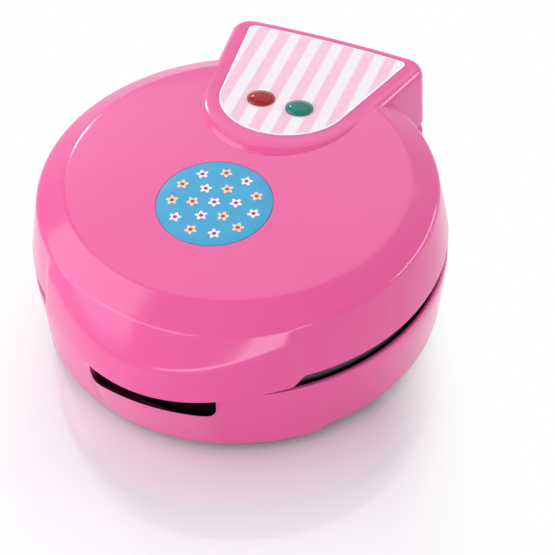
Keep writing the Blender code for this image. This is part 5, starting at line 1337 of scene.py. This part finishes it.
# %% Feet
FOOT_RING = 0.084
STUD_TOP, BARB_Z, PAD, SOLE_CUP = 0.0088, 0.0072, 0.0043, 0.0007
STUD_RADIUS, BARB_RADIUS, PAD_RADIUS = 0.0024, 0.0034, 0.0080
BARB_BEND, PAD_BEND = (0.0003, 2), (0.0008, 4)
foot_form = form("foot_form", profile([
    (0, STUD_TOP), (0.0019, STUD_TOP, *BARB_BEND), (BARB_RADIUS, BARB_Z, *BARB_BEND), (STUD_RADIUS, BARB_Z),
    (STUD_RADIUS, PAD), (PAD_RADIUS, PAD, *PAD_BEND), (PAD_RADIUS, 0, *PAD_BEND),
    (0.0056, 0, *TIGHT_BEND), (0.0046, SOLE_CUP, *TIGHT_BEND), (0, SOLE_CUP)]), 48)
feet = shape("feet", bmesh.new())
grow(feet, ring_tree("feet_on_ring", rubber), {
    "Form": foot_form, "Count": 4, "Ring radius": FOOT_RING, "Middle": (CENTRE_X, CENTRE_Y, 0.0),
    "First turn": math.pi / 4})
bpy.data.objects.remove(foot_form)
foot_nodes = [f"foot_{end}_{side}" for end in ("front", "rear") for side in ("left", "right")]
settle(feet, rubber, "base", *foot_nodes)

# %% Cord bushing
FLANGE, NECK, CORD_BORE = 0.0075, 0.0055, 0.0033
rear_wall = PANEL_REAR_Y + PANEL_REAR_RIM + rear_bow(GLAND_X)
inside = rear_bow(GLAND_X) - rear_bow(abs(GLAND_X) + FLANGE) + WALL + GAP
end = -inside - 0.002
bushing_rows = profile([
    (NECK, 0, *SKIRT_BEND), (NECK, -inside), (FLANGE, -inside, *BARB_BEND), (FLANGE, end, *BARB_BEND),
    (CORD_BORE, end, *INNER_BEND), (CORD_BORE, 0, *HEM_BEND)])
bushing_frame = at(GLAND_X, rear_wall, GLAND_Z) @ Matrix.Rotation(-math.pi / 2, 4, "X")
settle(solid("bushing", turned(bushing_rows, 64, bushing_frame)), black, "base", "cord_gland")

# %% [markdown]
# ## Floor
# The photograph was taken on a white table, which mirrors the body softly and turns into plain white away
# from it. A white floor that is lit until it clips would also throw that light up at the body. So the floor
# is a pale grey with a smooth coat. Beyond an ellipse round the body it turns to white for the rays that
# look at it, while the rays that carry light to the body still meet the grey, so it keeps the shadow and
# adds no light.

# %% Floor
FLOOR_RADIUS = 3.0
FLOOR_DROP = 0.0001
SHADOW_MIDDLE = (0.036, -0.125, 0)
SHADOW_REACH = (0.120, 0.29, 1)
SHADOW_TURN = math.radians(25)
table = Finish("pale_floor", (0.80, 0.79, 0.81), 0.25, Coat_Weight=1.0, Coat_Roughness=0.06)
ellipse = table.node("Mapping", {"vector_type": "TEXTURE"}, {
    "Vector": table.node("TexCoord", output="Object"), "Location": SHADOW_MIDDLE,
    "Rotation": (0, 0, SHADOW_TURN), "Scale": SHADOW_REACH})
from_body = table.node("VectorMath", {"operation": "LENGTH"}, {0: ellipse}, output=1)
clear = table.node("MapRange", {"interpolation_type": "SMOOTHSTEP"},
                   {"Value": from_body, "From Min": 0.68, "From Max": 1.15})
table.white_where_seen(table.shader.outputs[0], "Emission", "Material Output", clear)
disc = bmesh.new()
bmesh.ops.create_circle(disc, cap_ends=True, segments=96, radius=FLOOR_RADIUS,
                        matrix=Matrix.Translation((0, 0, -FLOOR_DROP)))
floor = to_object("floor", disc)
floor.data.materials.append(table.material)
print("floor", FLOOR_RADIUS, "m in radius")

# %% [markdown]
# ## Light
# The photograph shows large soft lamps by their reflections. A big softbox at the camera's left leaves the
# pale sheen down the lid's left side, and its edge is the vertical step in the gloss of the front. A wide
# panel behind and above makes the sheen of the dome, a low one in front fills the lip, and a narrow strip
# in front draws the thin line along the crease. A strip at the right lights the rim of the boss, and a
# small lamp puts the glints on the lenses. An image of a studio could light it too, but area lamps can be
# moved one at a time. The world is a weak grey for light and white for the rays that look, as the floor is.


# %% Lamps
def softbox(name, place, aim, size, power, up=(0, 0, 1)):
    """A rectangular area light at the place, facing the aim, its tall side along the up direction."""
    lamp = bpy.data.lights.new(name, "AREA")
    lamp.shape = "RECTANGLE"
    lamp.size, lamp.size_y = size
    lamp.energy = power
    back = (Vector(place) - Vector(aim)).normalized()
    right = Vector(up).cross(back).normalized()
    turn = Matrix((right, back.cross(right), back)).transposed().to_4x4()
    linked(name, lamp).matrix_world = Matrix.Translation(place) @ turn


KEY_UP = Vector((0, 0.633, 0.774))
KEY_FACING = Vector((0.643, 0.593, -0.485))
KEY_SHIFT = 0.6
key_place = Vector((-0.585, -0.690, 1.017)) - KEY_UP.cross(-KEY_FACING).normalized() * KEY_SHIFT
middle = (0, 0, 0.06)
softbox("key_left", key_place, key_place + KEY_FACING, (1.2, 1.5), 12, KEY_UP)
softbox("overhead", (-0.25, 1.2, 1.7), middle, (2.6, 1.8), 13)
softbox("low_front", (0.75, -1.75, 0.24), (0, 0, 0.04), (2.6, 0.42), 14)
softbox("strip_front", (-0.744, -1.524, 1.12), middle, (1.7, 0.14), 5.0)
softbox("spark", (-1.12, 0.94, 0.71), middle, (0.13, 0.13), 2.7)
softbox("strip_right", (1.01, 0.71, 0.42), middle, (1.0, 0.25), 4.5)

# %% World
world = bpy.data.worlds.new("pale_world")
world.use_nodes = True
ambient = world.node_tree.nodes["Background"]
ambient.inputs["Color"].default_value = (0.95, 0.96, 1.0, 1)
ambient.inputs["Strength"].default_value = 0.55
Graph(world.node_tree).white_where_seen(ambient.outputs[0], "Background", "World Output")
bpy.context.scene.world = world
bpy.context.scene.view_settings.view_transform = "Standard"
print("lamps", len(bpy.data.lights))
